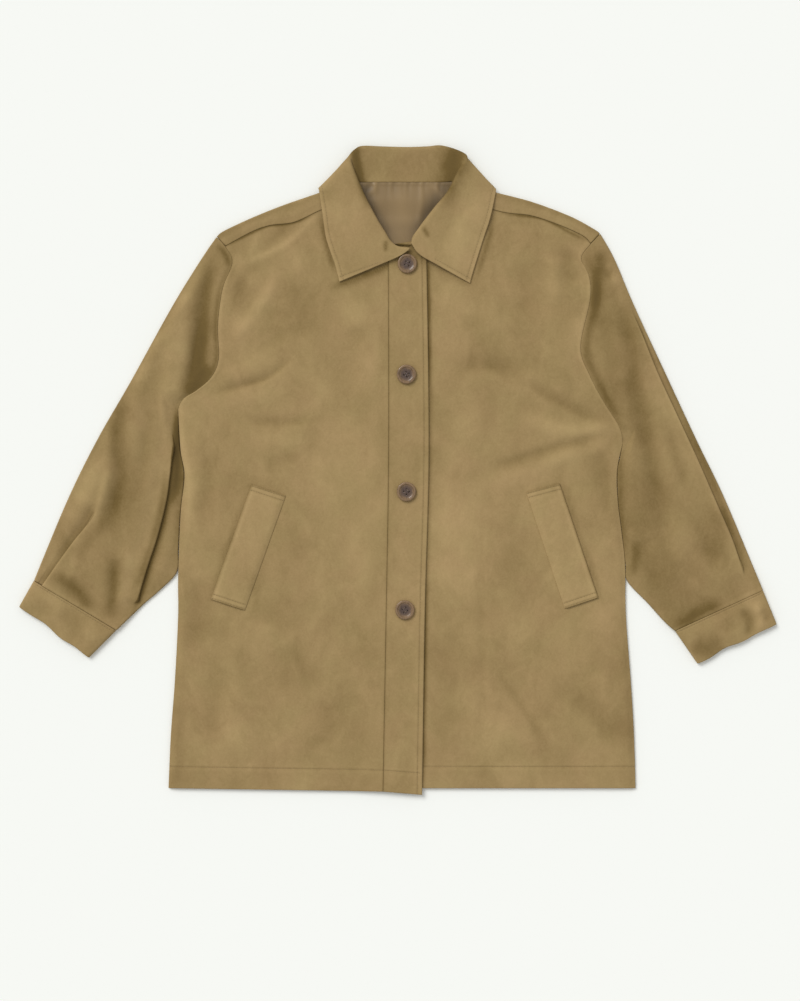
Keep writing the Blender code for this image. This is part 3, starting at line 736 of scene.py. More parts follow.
class Shader:
    """Builds one material from nodes."""

    def __init__(self, name: str) -> None:
        """Starts a material with its Principled shader.

        Args:
            name: The material's name.
        """
        self.material = bpy.data.materials.new(name)
        self.material.use_nodes = True
        self.tree = self.material.node_tree
        self.surface = self.tree.nodes["Principled BSDF"]

    def node(self, kind: str, settings: dict[str, object], inputs: dict[object, object],
             output: int | str = 0) -> Signal:
        """Adds a node.

        Args:
            kind: The node's type.
            settings: Its own settings, which are set first.
            inputs: The values or links of its sockets, by name or number.
            output: Which of its outputs to read.

        Returns:
            The output.
        """
        made = self.tree.nodes.new(kind)
        for key, value in settings.items():
            setattr(made, key, value)
        for key, value in inputs.items():
            self.feed(made.inputs[key], value)
        return Signal(self, made.outputs[output])

    def feed(self, socket: bpy.types.NodeSocket, value: object) -> None:
        """Links a signal to a socket, or sets the socket's own value.

        Args:
            socket: The socket.
            value: A signal, or a value.
        """
        if isinstance(value, Signal):
            self.tree.links.new(value.socket, socket)
        else:
            socket.default_value = value

    def set(self, **sockets: object) -> None:
        """Feeds the Principled shader's sockets, by their names with _ for a space."""
        for key, value in sockets.items():
            self.feed(self.surface.inputs[key.replace("_", " ")], value)

    def place(self, scale: Sequence[float] = (1, 1, 1), centre: Sequence[float] = (0, 0, 0),
              turn: float = 0.0) -> Signal:
        """Object coordinates, centred on a point, scaled and turned about Z.

        Args:
            scale: The scale along each axis.
            centre: The point.
            turn: The turn, in radians.

        Returns:
            The coordinates.
        """
        source = self.node("ShaderNodeTexCoord", {}, {}, "Object")
        moved = self.node(
            "ShaderNodeVectorMath", {"operation": "SUBTRACT"}, {0: source, 1: tuple(centre)})
        return self.node(
            "ShaderNodeMapping", {"vector_type": "POINT"},
            {"Vector": moved, "Rotation": (0, 0, turn), "Scale": tuple(scale)})

    def noise(self, place: Signal, scale: float, detail: float = 3.0, rough: float = 0.5,
              twist: float = 0.0) -> Signal:
        """Noise around 0, from about -0.5 to 0.5.

        Args:
            place: Where to read it.
            scale: Its scale.
            detail: Its octaves.
            rough: How strong the finer ones are.
            twist: How far it is distorted.

        Returns:
            The noise.
        """
        made = self.node(
            "ShaderNodeTexNoise", {},
            {"Vector": place, "Scale": scale, "Detail": detail, "Roughness": rough,
             "Distortion": twist})
        return made - 0.5

    def attribute(self, name: str) -> Signal:
        """A number that the mesh holds at each point."""
        return self.node("ShaderNodeAttribute", {"attribute_name": name}, {}, "Fac")

    def shade(self, colour: Sequence[float] | Signal, amount: Signal) -> Signal:
        """A colour times a number."""
        return self.node(
            "ShaderNodeVectorMath", {"operation": "SCALE"}, {0: colour, "Scale": amount})

    def blend(self, first: object, second: object, amount: Signal) -> Signal:
        """A mix of two colours.

        Args:
            first: The first colour.
            second: The second one.
            amount: The second one's share.

        Returns:
            The colour.
        """
        return self.node(
            "ShaderNodeMix", {"data_type": "RGBA", "clamp_factor": True},
            {0: amount, 6: first, 7: second}, 2)

    def bump(self, height: Signal, strength: float, distance: float) -> None:
        """Feeds a bump to the Principled shader's normal."""
        self.set(Normal=self.node(
            "ShaderNodeBump", {}, {"Height": height, "Strength": strength, "Distance": distance}))


@dataclass(frozen=True)
class Suede:
    """Brushed suede: a soft nap whose tone drifts, with fine grain and a faint sheen, and painted
    shade and highlight from its tone attribute.

    Attributes:
        name: The material's name.
        lightness: How much lighter this piece lies than the usual.
    """

    name: str
    lightness: float = 0.0
    deep: ClassVar[tuple[float, ...]] = (0.16, 0.106, 0.036, 1.0)
    light: ClassVar[tuple[float, ...]] = (0.492, 0.358, 0.168, 1.0)
    blush: ClassVar[tuple[float, ...]] = (0.506, 0.352, 0.172, 1.0)
    # Near black, for painted shadow in slits and under edges.
    painted_shadow: ClassVar[tuple[float, ...]] = (0.014, 0.008, 0.003, 1.0)

    def build(self) -> bpy.types.Material:
        """Makes the material.

        Returns:
            The material.
        """
        shader = Shader(self.name)
        place = shader.place()
        brushed = shader.place(scale=(1.0, 0.72, 1.0))
        drifts = shader.noise(brushed, 9.0, 2.0, 0.5, 0.4)
        clouds = shader.noise(brushed, 26.0, 5.0, 0.58, 0.5)
        strokes = shader.noise(brushed, 105.0, 3.0, 0.62, 1.2)
        grain = shader.noise(place, 420.0, 2.0, 0.6)
        fibre = shader.noise(place, 1300.0, 2.0, 0.6)
        nap = drifts * 0.24 + clouds * 0.5 + strokes * 0.2 + grain * 0.18
        # The tone attribute adds painted shade and painted highlight to the nap's own drift.
        tone = nap + shader.attribute("tone") * 1.4 + (0.5 + self.lightness)
        tint = shader.noise(place, 21.0, 2.0, 0.5, 0.4) * 3.0 + 0.5
        # Colour runs from deep to light with tone, so painted shade comes out as deep brown, as
        # dark nap does.
        colour = shader.blend(self.deep, shader.blend(self.light, self.blush, tint), tone)
        # Very low tone runs on toward near black: a painted shadow.
        shader.set(
            Base_Color=shader.blend(self.painted_shadow, colour, tone * 0.75 + 1.0),
            Roughness=0.93 - strokes * 0.1, Sheen_Weight=0.08, Sheen_Roughness=0.5,
            Sheen_Tint=(0.9, 0.72, 0.42, 1.0), Specular_IOR_Level=0.05)
        shader.bump(grain * 0.6 + fibre * 0.4 + strokes * 0.4 + clouds * 1.4, 0.55, 0.6 * MM)
        return shader.material


@dataclass(frozen=True)
class Satin:
    """Lining satin: smooth and slightly glossy, with a fine weave."""

    name: str = "lining_satin"
    colour: tuple[float, float, float] = (0.242, 0.163, 0.075)

    def build(self) -> bpy.types.Material:
        """Makes the material.

        Returns:
            The material.
        """
        shader = Shader(self.name)
        place = shader.place()
        threads = shader.noise(shader.place(scale=(1.0, 0.08, 1.0)), 1500.0, 1.0)
        drift = shader.noise(place, 24.0, 2.0, 0.5)
        # The tone attribute carries painted shadows from the collar's leaves and painted shading
        # of the puckers; the rest is the weave's own drift.
        tone = drift * 0.2 + threads * 0.1 + shader.attribute("tone") + 1.0
        shader.set(
            Base_Color=shader.shade(self.colour, tone), Roughness=threads * 0.2 + 0.46,
            Sheen_Weight=0.05, Sheen_Roughness=0.3, Specular_IOR_Level=0.34)
        shader.bump(threads, 0.25, 0.12 * MM)
        return shader.material


@dataclass(frozen=True)
class Thread:
    """Sewing thread, tone on tone."""

    name: str = "sewing_thread"
    colour: tuple[float, float, float] = (0.27, 0.187, 0.08)

    def build(self) -> bpy.types.Material:
        """Makes the material.

        Returns:
            The material.
        """
        shader = Shader(self.name)
        twist = shader.noise(shader.place(), 2600.0, 1.0)
        shader.set(
            Base_Color=shader.shade(self.colour, twist * 0.3 + 1.0), Roughness=0.62,
            Sheen_Weight=0.2, Specular_IOR_Level=0.3)
        return shader.material


@dataclass(frozen=True)
class Horn:
    """Polished horn with marbled bands, darker toward the dish.

    Attributes:
        name: The material's name.
        centre: The button's middle, in millimetres.
        turn: How far the marbling is turned, in radians.
    """

    name: str
    centre: tuple[float, float, float]
    turn: float
    rim: ClassVar[tuple[float, ...]] = (0.225, 0.14, 0.072, 1.0)
    dish: ClassVar[tuple[float, ...]] = (0.08, 0.051, 0.041, 1.0)
    vein: ClassVar[tuple[float, ...]] = (0.03, 0.019, 0.015, 1.0)
    DISH_RADIUS: ClassVar[float] = 8.6

    def build(self) -> bpy.types.Material:
        """Makes the material.

        Returns:
            The material.
        """
        shader = Shader(self.name)
        middle = tuple(part * MM for part in self.centre)
        place = shader.place(centre=middle, turn=self.turn)
        flat = shader.node(
            "ShaderNodeVectorMath", {"operation": "MULTIPLY"}, {0: place, 1: (1, 1, 0)})
        radius = shader.node(
            "ShaderNodeVectorMath", {"operation": "LENGTH"}, {0: flat}, "Value")
        clouds = shader.noise(place, 120.0, 3.0, 0.6, 1.4)
        bands = shader.noise(
            shader.place(scale=(1.0, 0.3, 1.0), centre=middle, turn=self.turn),
            260.0, 3.0, 0.6, 1.8)
        outward = (radius * (1 / (self.DISH_RADIUS * MM)) + clouds * 0.7) ** 4.0
        base = shader.blend(self.dish, self.rim, outward)
        veined = shader.blend(base, self.vein, bands * 2.6 + clouds * 1.2)
        shader.set(
            Base_Color=veined, Roughness=clouds * 0.16 + 0.28, Coat_Weight=0.3,
            Coat_Roughness=0.1, Specular_IOR_Level=0.35)
        shader.bump(bands, 0.12, 0.15 * MM)
        return shader.material


@dataclass(frozen=True)
class Ground:
    """A plain pale floor."""

    name: str = "pale_floor"
    colour: tuple[float, float, float, float] = (0.928, 0.942, 0.902, 1.0)

    def build(self) -> bpy.types.Material:
        """Makes the material.

        Returns:
            The material.
        """
        shader = Shader(self.name)
        shader.set(Base_Color=self.colour, Roughness=0.9, Specular_IOR_Level=0.1)
        return shader.material


def publish(piece: bpy.types.Object, slot: Slot, *nodes: str) -> bpy.types.Object:
    """Ties a piece to the frame and reports it.

    Args:
        piece: The piece.
        slot: The record's slot; not used.
        nodes: The CAD nodes that it stands for.

    Returns:
        The piece.
    """
    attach(piece, "root")
    if nodes:
        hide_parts(*nodes)
    LOG.info("%s: %d faces", piece.name, len(piece.data.polygons))
    return piece


def cloth(node: str, thickness: float, suede: bpy.types.Material,
          *sheets: Sheet) -> bpy.types.Object:
    """Makes a suede piece from the middles of its walls.

    Args:
        node: The CAD node that it stands for.
        thickness: The walls'.
        suede: The finish.
        sheets: The walls' middles.

    Returns:
        The piece.
    """
    mesher = Mesher(f"{node}_cloth")
    for sheet in sheets:
        mesher.sheet(sheet, thickness)
    return publish(mesher.finish(suede), Slot.SUEDE, node)


@dataclass
class Stitching:
    """Rows of stitches on one sheet.

    Attributes:
        name: The piece's name.
        material: The thread.
        pitch: The distance from one stitch to the next.
        size: A stitch's length, width and height.
    """

    name: str
    material: bpy.types.Material
    pitch: float = 3.4
    size: tuple[float, float, float] = (2.7, 0.62, 0.42)
    mesher: Mesher = field(init=False)
    PROUD: ClassVar[float] = 0.12

    def __post_init__(self) -> None:
        """Starts the stitches' mesh."""
        self.mesher = Mesher(self.name)

    def row(self, places: Values, facing: Values) -> None:
        """Sews one row along places on a sheet.

        Args:
            places: The places, in order.
            facing: The directions that the sheet faces there.
        """
        steps = np.linalg.norm(np.diff(places, axis=0), axis=1)
        marks = np.concatenate([[0.0], np.cumsum(steps)])
        count = int(marks[-1] / self.pitch)
        middles = (np.arange(count) + 0.5) * marks[-1] / max(count, 1)
        read = [np.stack([np.interp(at, marks, axis) for axis in places.T], axis=-1)
                for at in (middles - 1, middles, middles + 1)]
        ups = np.stack([np.interp(middles, marks, axis) for axis in facing.T], axis=-1)
        for before, middle, after, up in zip(*read, ups):
            self.mesher.blob(middle, after - before, up, self.size)

    def seams(self, sheet: Sheet, seams: Sequence[Seam], thickness: float) -> None:
        """Sews the seams that show on a sheet.

        Args:
            sheet: The sheet.
            seams: Its seams.
            thickness: The wall's.
        """
        lift = thickness / 2 + self.size[2] * self.PROUD
        for seam in seams:
            columns, rows = sheet.inside(seam.edge, seam.inside)
            first, last = (round(share * (len(rows) - 1)) for share in seam.span)
            self.row(*sheet.on(columns[first:last + 1], rows[first:last + 1], lift))

    def finish(self) -> bpy.types.Object:
        """Makes the piece."""
        return publish(self.mesher.finish(self.material, closed=False), Slot.SUEDE)


@dataclass(frozen=True)
class Pleat:
    """A pleat in a sleeve, along a line on the plan.

    Attributes:
        line: The points that its edge runs through, from the armhole to the cuff.
        folded: The shares of the line between which it folds over, and opens out again.
        inner_on_top: Whether the inner part of the sleeve lies over the outer part.
        shade: How much darker the lower side is painted next to the edge, a painted shadow.
    """

    line: Table
    folded: tuple[float, float, float, float]
    inner_on_top: bool
    shade: float = 0.2
    LEAD: ClassVar[float] = 6.0
    TAIL: ClassVar[float] = 5.0
    COLUMNS: ClassVar[int] = 32
    SHADE_REACH: ClassVar[float] = 7.0
    NOSE: ClassVar[tuple[float, float]] = (2.0, 2.5)
    # How much lighter the fold's nose is painted, a painted highlight.
    NOSE_HIGHLIGHT: ClassVar[float] = 0.05
    OPEN: ClassVar[Table] = tuple((-6.0 + 11.0 * step / 7, step / 7) for step in range(8))
    UPRIGHT: ClassVar[Table] = (
        (-6, 0), (-0.9, 0), (0.35, 0.1), (0.25, 0.36),
        (-0.25, 0.64), (-0.35, 0.9), (0.9, 1), (5, 1))
    FOLDED: ClassVar[Table] = (
        (-6, 0), (9, 0), (10.05, 0.25), (9, 0.5), (1.85, 0.5), (0.8, 0.75), (1.85, 1), (5, 1))

    def edge(self, layer: "SleeveLayer", down: Values) -> tuple[Values, Values]:
        """Where the edge is across each row of a sleeve, and how far the pleat is folded.

        Args:
            layer: The sleeve's upper layer.
            down: The rows' shares down the sleeve, as a column.

        Returns:
            Two columns of shares.
        """
        shares = np.linspace(0.01, 0.99, 99)
        grid = layer.places(np.broadcast_to(shares, (len(down), len(shares))), down)
        distance, mark = Line.through(self.line).nearest(grid[..., 0], grid[..., 1])
        rising = np.sign(distance[:, -1:] - distance[:, :1])
        across = np.array([np.interp(0.0, row, shares) for row in distance * rising])
        near = np.array([np.interp(place, shares, row) for place, row in zip(across, mark)])
        begin, full, open_from, gone = self.folded
        return across[:, None], (ramp(begin, full, near) * ramp(gone, open_from, near))[:, None]

    def section(self, fold: Values) -> tuple[Values, Values]:
        """The offsets and the shares of height through the pleat.

        Args:
            fold: How far it is folded on each row, as a column.

        Returns:
            Offsets in millimetres and shares from the lower side to the upper one.
        """
        states = np.array([self.OPEN, self.UPRIGHT, self.FOLDED], float)
        place = np.clip(fold[:, 0] * 2, 0, 2)
        index = np.minimum(place.astype(int), 1)
        part = (place - index)[:, None, None]
        control = mix(states[index], states[index + 1], part).transpose(1, 0, 2)
        made = spline(control, np.linspace(0, 1, self.COLUMNS)).transpose(1, 0, 2)
        if not self.inner_on_top:
            made = made[:, ::-1] * (-1, 1)
        return made[..., 0], made[..., 1]


@dataclass(frozen=True)
class SideCut:
    """The outlines and folds of one side of the jacket, in millimetres.

    Attributes:
        name: The wearer's side.
        outward: The sign of X on this side.
        shoulder_fold: Where the back turns over the shoulder, from its tip to the neck.
        shoulder_seam: Where it meets the front, the same way.
        armhole_front: The front's edge at the armhole, from the top.
        armhole_back: The back's.
        side_fold: Where the body turns over at the side, from the armhole to the hem.
        neckline: The front's neck edge.
        hem_centre: Where the front's centre edge meets its hem.
        sleeve_outer: The sleeve's outer fold, from the shoulder to the cuff.
        sleeve_inner: Its inner fold, from the armhole to the cuff.
        cuff: The cuff's outer and inner corner at its open end.
        pleats: The sleeve's pleats, from its outer fold inward.
        folds: The front's folds.
        sleeve_folds: The folds on the sleeve's upper side.
        cuff_folds: The cuff's folds.
        welt: The corners of the pocket's welt.
    """

    name: str
    outward: int
    shoulder_fold: Table
    shoulder_seam: Table
    armhole_front: Table
    armhole_back: Table
    side_fold: Table
    neckline: Table
    hem_centre: tuple[float, float]
    sleeve_outer: Table
    sleeve_inner: Table
    cuff: Table
    pleats: tuple[Pleat, ...]
    folds: Relief
    sleeve_folds: Relief
    cuff_folds: Relief
    welt: Table


RIGHT = SideCut(
    name="right",
    outward=-1,
    shoulder_fold=((-227, 290), (-217, 298), (-178, 316), (-140, 331), (-98, 345), (-62, 357)),
    shoulder_seam=((-216, 278), (-183, 296), (-160, 304), (-130, 308), (-99, 322), (-60, 337)),
    armhole_front=(
        (-227, 290), (-216, 278), (-207, 258), (-219, 226), (-225, 180), (-224, 138), (-233, 115),
        (-252, 98), (-268, 88), (-275, 76)),
    armhole_back=(
        (-227, 290), (-218, 277), (-213, 256), (-211, 222), (-213, 180), (-219, 142), (-231, 116),
        (-248, 99), (-266, 86), (-275, 76)),
    side_fold=(
        (-275, 76), (-272, 24), (-267, -8), (-272, -56), (-275, -135), (-275, -183), (-279, -263),
        (-284, -330), (-287, -398)),
    neckline=((-60, 337), (-49, 315), (-36, 297), (-23, 286), (-12.5, 277)),
    hem_centre=(-19, -402),
    sleeve_outer=(
        (-227, 290), (-247, 261), (-282, 204), (-333.5, 111), (-376, 37), (-413, -38),
        (-455, -139)),
    sleeve_inner=(
        (-275, 76), (-274.4, 50), (-272.8, 24), (-268, -8), (-272.8, -56), (-275.2, -100),
        (-277, -128), (-296, -149), (-319, -169), (-352, -201)),
    cuff=((-473, -171), (-386, -235)),
    pleats=(
        Pleat(((-248, 236), (-300, 152), (-334, 84), (-358, 14), (-371, -36), (-384, -63),
               (-404, -88), (-421, -111), (-435, -131), (-446, -147)),
              folded=(0.7, 0.8, 1.5, 2.0), inner_on_top=True),
        Pleat(((-262, 92), (-271, 66), (-278, 40), (-282, 18), (-284.4, -6), (-289, -40),
               (-300, -84), (-311.5, -119), (-323, -157), (-329, -176), (-335, -194)),
              folded=(0.11, 0.38, 0.85, 0.93), inner_on_top=False, shade=0.28)),
    # Rows with no rise only paint tone: painted shadows under the collar's leaves and along seams
    # and edges, and painted highlights; the other rows add painted shading to their folds.
    folds=Relief.of(
        0.4, 0.25,
        (5, -1.3, -0.11, 0.4, -232, 95, -210, 99, -184, 106, -159, 116, -130, 141),
        (4, 0.5, 0.14, 0, -98, 322, -116, 303, -134, 286, -160, 270, -198, 255),
        (4, 0.4, 0.08, 0, -170, 300, -179, 283, -188, 264),
        (6, -0.4, -0.1, 0, -122, 312, -146, 298, -168, 277),
        (8, -0.5, -0.1, 0, -166, 256, -186, 246, -200, 222, -204, 190),
        (6, 0, -0.1, 0, -212, 284, -208, 262, -214, 236),
        # Painted shadows along the right leaf's outer edge, along the shoulder seam and under the
        # leaf's lower edge.
        (3, 0, -0.26, 0, -97.5, 320, -93.5, 296, -85, 264, -79, 242),
        (2, 0, -0.3, 0, -218, 276, -190, 291, -164, 303, -147, 305, -120, 311, -98, 323),
        (5, 0, -0.34, 0, -90, 224, -66, 233, -38, 244, -12, 255, 6, 266),
        (12, 1.2, 0.03, 0, -228, 112, -196, 120, -160, 134),
        (11, 0.9, 0.05, 0, -230, 80, -196, 88, -152, 98),
        (7, -1.1, -0.09, 0.3, -196, 60, -150, 57, -100, 62),
        (13, 0.8, 0.04, 0, -184, 38, -146, 36, -108, 42),
        (9, -0.6, -0.05, 0, -168, 5, -148, 8, -128, 18),
        (9, 1.5, 0.1, 0.2, -212, 150, -197, 171, -177, 196, -159, 224, -150, 252),
        (13, -1.3, -0.06, 0, -208, 236, -190, 214, -180, 178),
        (18, -1.1, -0.08, 0, -150, 206, -158, 176, -146, 152),
        (12, 1.1, 0.06, 0, -146, 290, -132, 268, -118, 236),
        (24, -0.9, -0.07, 0, -112, 236, -116, 196, -108, 158),
        (9, 1.0, 0.06, 0, -203, 272, -190, 246, -176, 222),
        (14, 1.6, 0.05, 0, -258, 60, -256, 0, -259, -70),
        (12, -1.1, -0.05, 0, -238, 40, -238, -10, -246, -66),
        (18, -1.0, -0.07, 0, -256, -128, -250, -168, -262, -230),
        (22, -0.8, -0.08, 0, -138, -214, -136, -246, -144, -280),
        (14, -0.9, -0.06, 0, -232, -248, -226, -290, -236, -344),
        (24, 1.3, 0.04, 0, -214, -268, -208, -318, -190, -366),
        (20, -0.7, -0.06, 0, -92, -280, -86, -312, -94, -356),
        (24, 0.8, 0.05, 0, -172, -186, -176, -212, -190, -236),
        (13, 0.9, 0.06, 0, -54, 214, -50, 194, -44, 172),
        (12, -0.8, -0.06, 0, -58, 178, -50, 166, -40, 158),
        (16, 0.8, 0.05, 0, -40, 148, -36, 124, -38, 84),
        (30, 0.7, 0.07, 0, -50, 40, -48, -20, -48, -90, -40, -170),
        (26, 0.7, 0.03, 0, -96, 20, -92, -40, -100, -110),
        # Painted shadow along the welt's outer edge.
        (4, 0, -0.13, 0, -180, -4, -185, -19, -210, -90, -236, -163, -241, -178),
        (5, 0.5, 0.08, 0, -270, 88, -270, 50, -266, 8, -261, -12, -262, -60, -264, -110),
        (12, 0, -0.12, 0, -276, -276, -278, -316, -276, -350, -282, -420),
        (26, 0, -0.05, 0, -232, 70, -236, 10, -250, -70)),
    # Rows with no rise only paint tone: painted shadows along the armhole seam, beside the body's
    # side edge and beside the pleats, and painted highlights; the other rows add painted shading.
    sleeve_folds=Relief.of(
        1.7, 0.3,
        (12, -4.8, -0.24, 0, -222, 276, -236, 242, -242, 206, -246, 170, -250, 140, -257, 114,
         -268, 92),
        (9, 0, 0.07, 0, -258, 250, -266, 214, -269, 176, -269, 140, -274, 104),
        (10, -1.6, -0.13, 0, -243, 190, -247, 156, -252, 126, -262, 102, -274, 84),
        (4.5, 0.6, 0.05, 0, -214, 256, -225, 232, -231, 206, -233, 176),
        (3.5, 0, -0.2, 0, -206, 266, -210, 252, -222, 226, -228, 180, -227, 138, -237, 113,
         -256, 96, -276, 82),
        # Painted shadow along the body's side edge, where the sleeve dips under it.
        (5.5, 0, -0.58, 0, -277, 84, -276.5, 50, -276.5, 20, -277, -8, -282, -48),
        (7, 0, -0.34, 0, -236, 134, -247, 112, -257, 101, -270, 92),
        (4, 0, -0.25, 0, -228, 282, -215, 266, -211, 250),
        (6, 0, -0.24, 0, -288, -6, -293, -42, -304, -86, -316, -121, -327, -158),
        (17, 3.2, 0.06, 0.25, -262, 244, -271, 208, -279, 160, -284, 106, -288, 56, -292, 10),
        (15, 2.4, 0.07, -0.4, -294, 20, -302, -31, -312, -84, -324, -132),
        (12, -4.2, -0.18, 0.2, -338, 100, -348, 66, -352, 40, -347, 4, -349, -24, -358, -58,
         -370, -84),
        (6, 1.8, 0.08, 0, -362, 10, -364, -12, -369, -34, -378, -56, -388, -70),
        (12, 1.8, 0.03, 0, -322, 100, -330, 52, -328, 6),
        (13, 1.8, 0.05, 0, -374, 20, -386, -16, -398, -50),
        (8, -2.2, -0.2, 0, -352, -108, -355, -130, -356, -158, -360, -190),
        (8, 0, -0.12, 0, -362, -56, -378, -80, -394, -102, -404, -120),
        (6, 0, 0.1, 0, -452, -134, -434, -118, -424, -100),
        (9, 2.2, 0.15, 0, -334, -92, -335, -116, -339, -146, -346, -182),
        (7, 1.4, 0.09, 0, -402, -104, -408, -122, -404, -136),
        (9, -2.0, -0.24, 0, -440, -128, -416, -140, -396, -156, -380, -180),
        (10, -1.4, -0.06, 0, -310, 60, -318, 20, -322, -40),
        (15, 1.4, 0.03, 0, -300, 176, -318, 138, -334, 100),
        (12, -1.2, -0.06, 0, -258, 262, -276, 230, -292, 196),
        (3, 0, -0.12, 0, -309, -112, -318, -142, -326, -166, -338, -206),
        (34, 0, -0.1, 0, -324, -10, -340, -80, -360, -130, -384, -190),
        (6, 0, -0.2, 0, -268, 110, -273, 50, -269, -8, -273, -70, -277, -130)),
    cuff_folds=Relief.of(
        2.2, 0.5,
        (14, 0.9, 0.03, 0, -450, -152, -420, -186),
        (12, -1.0, -0.07, 0, -412, -170, -396, -214),
        (10, -0.8, -0.05, 0, -438, -160, -446, -184),
        (8, 0.7, 0.04, 0, -388, -196, -378, -216)),
    welt=((-183, -19), (-140, -33), (-191, -176), (-234, -162)),
)

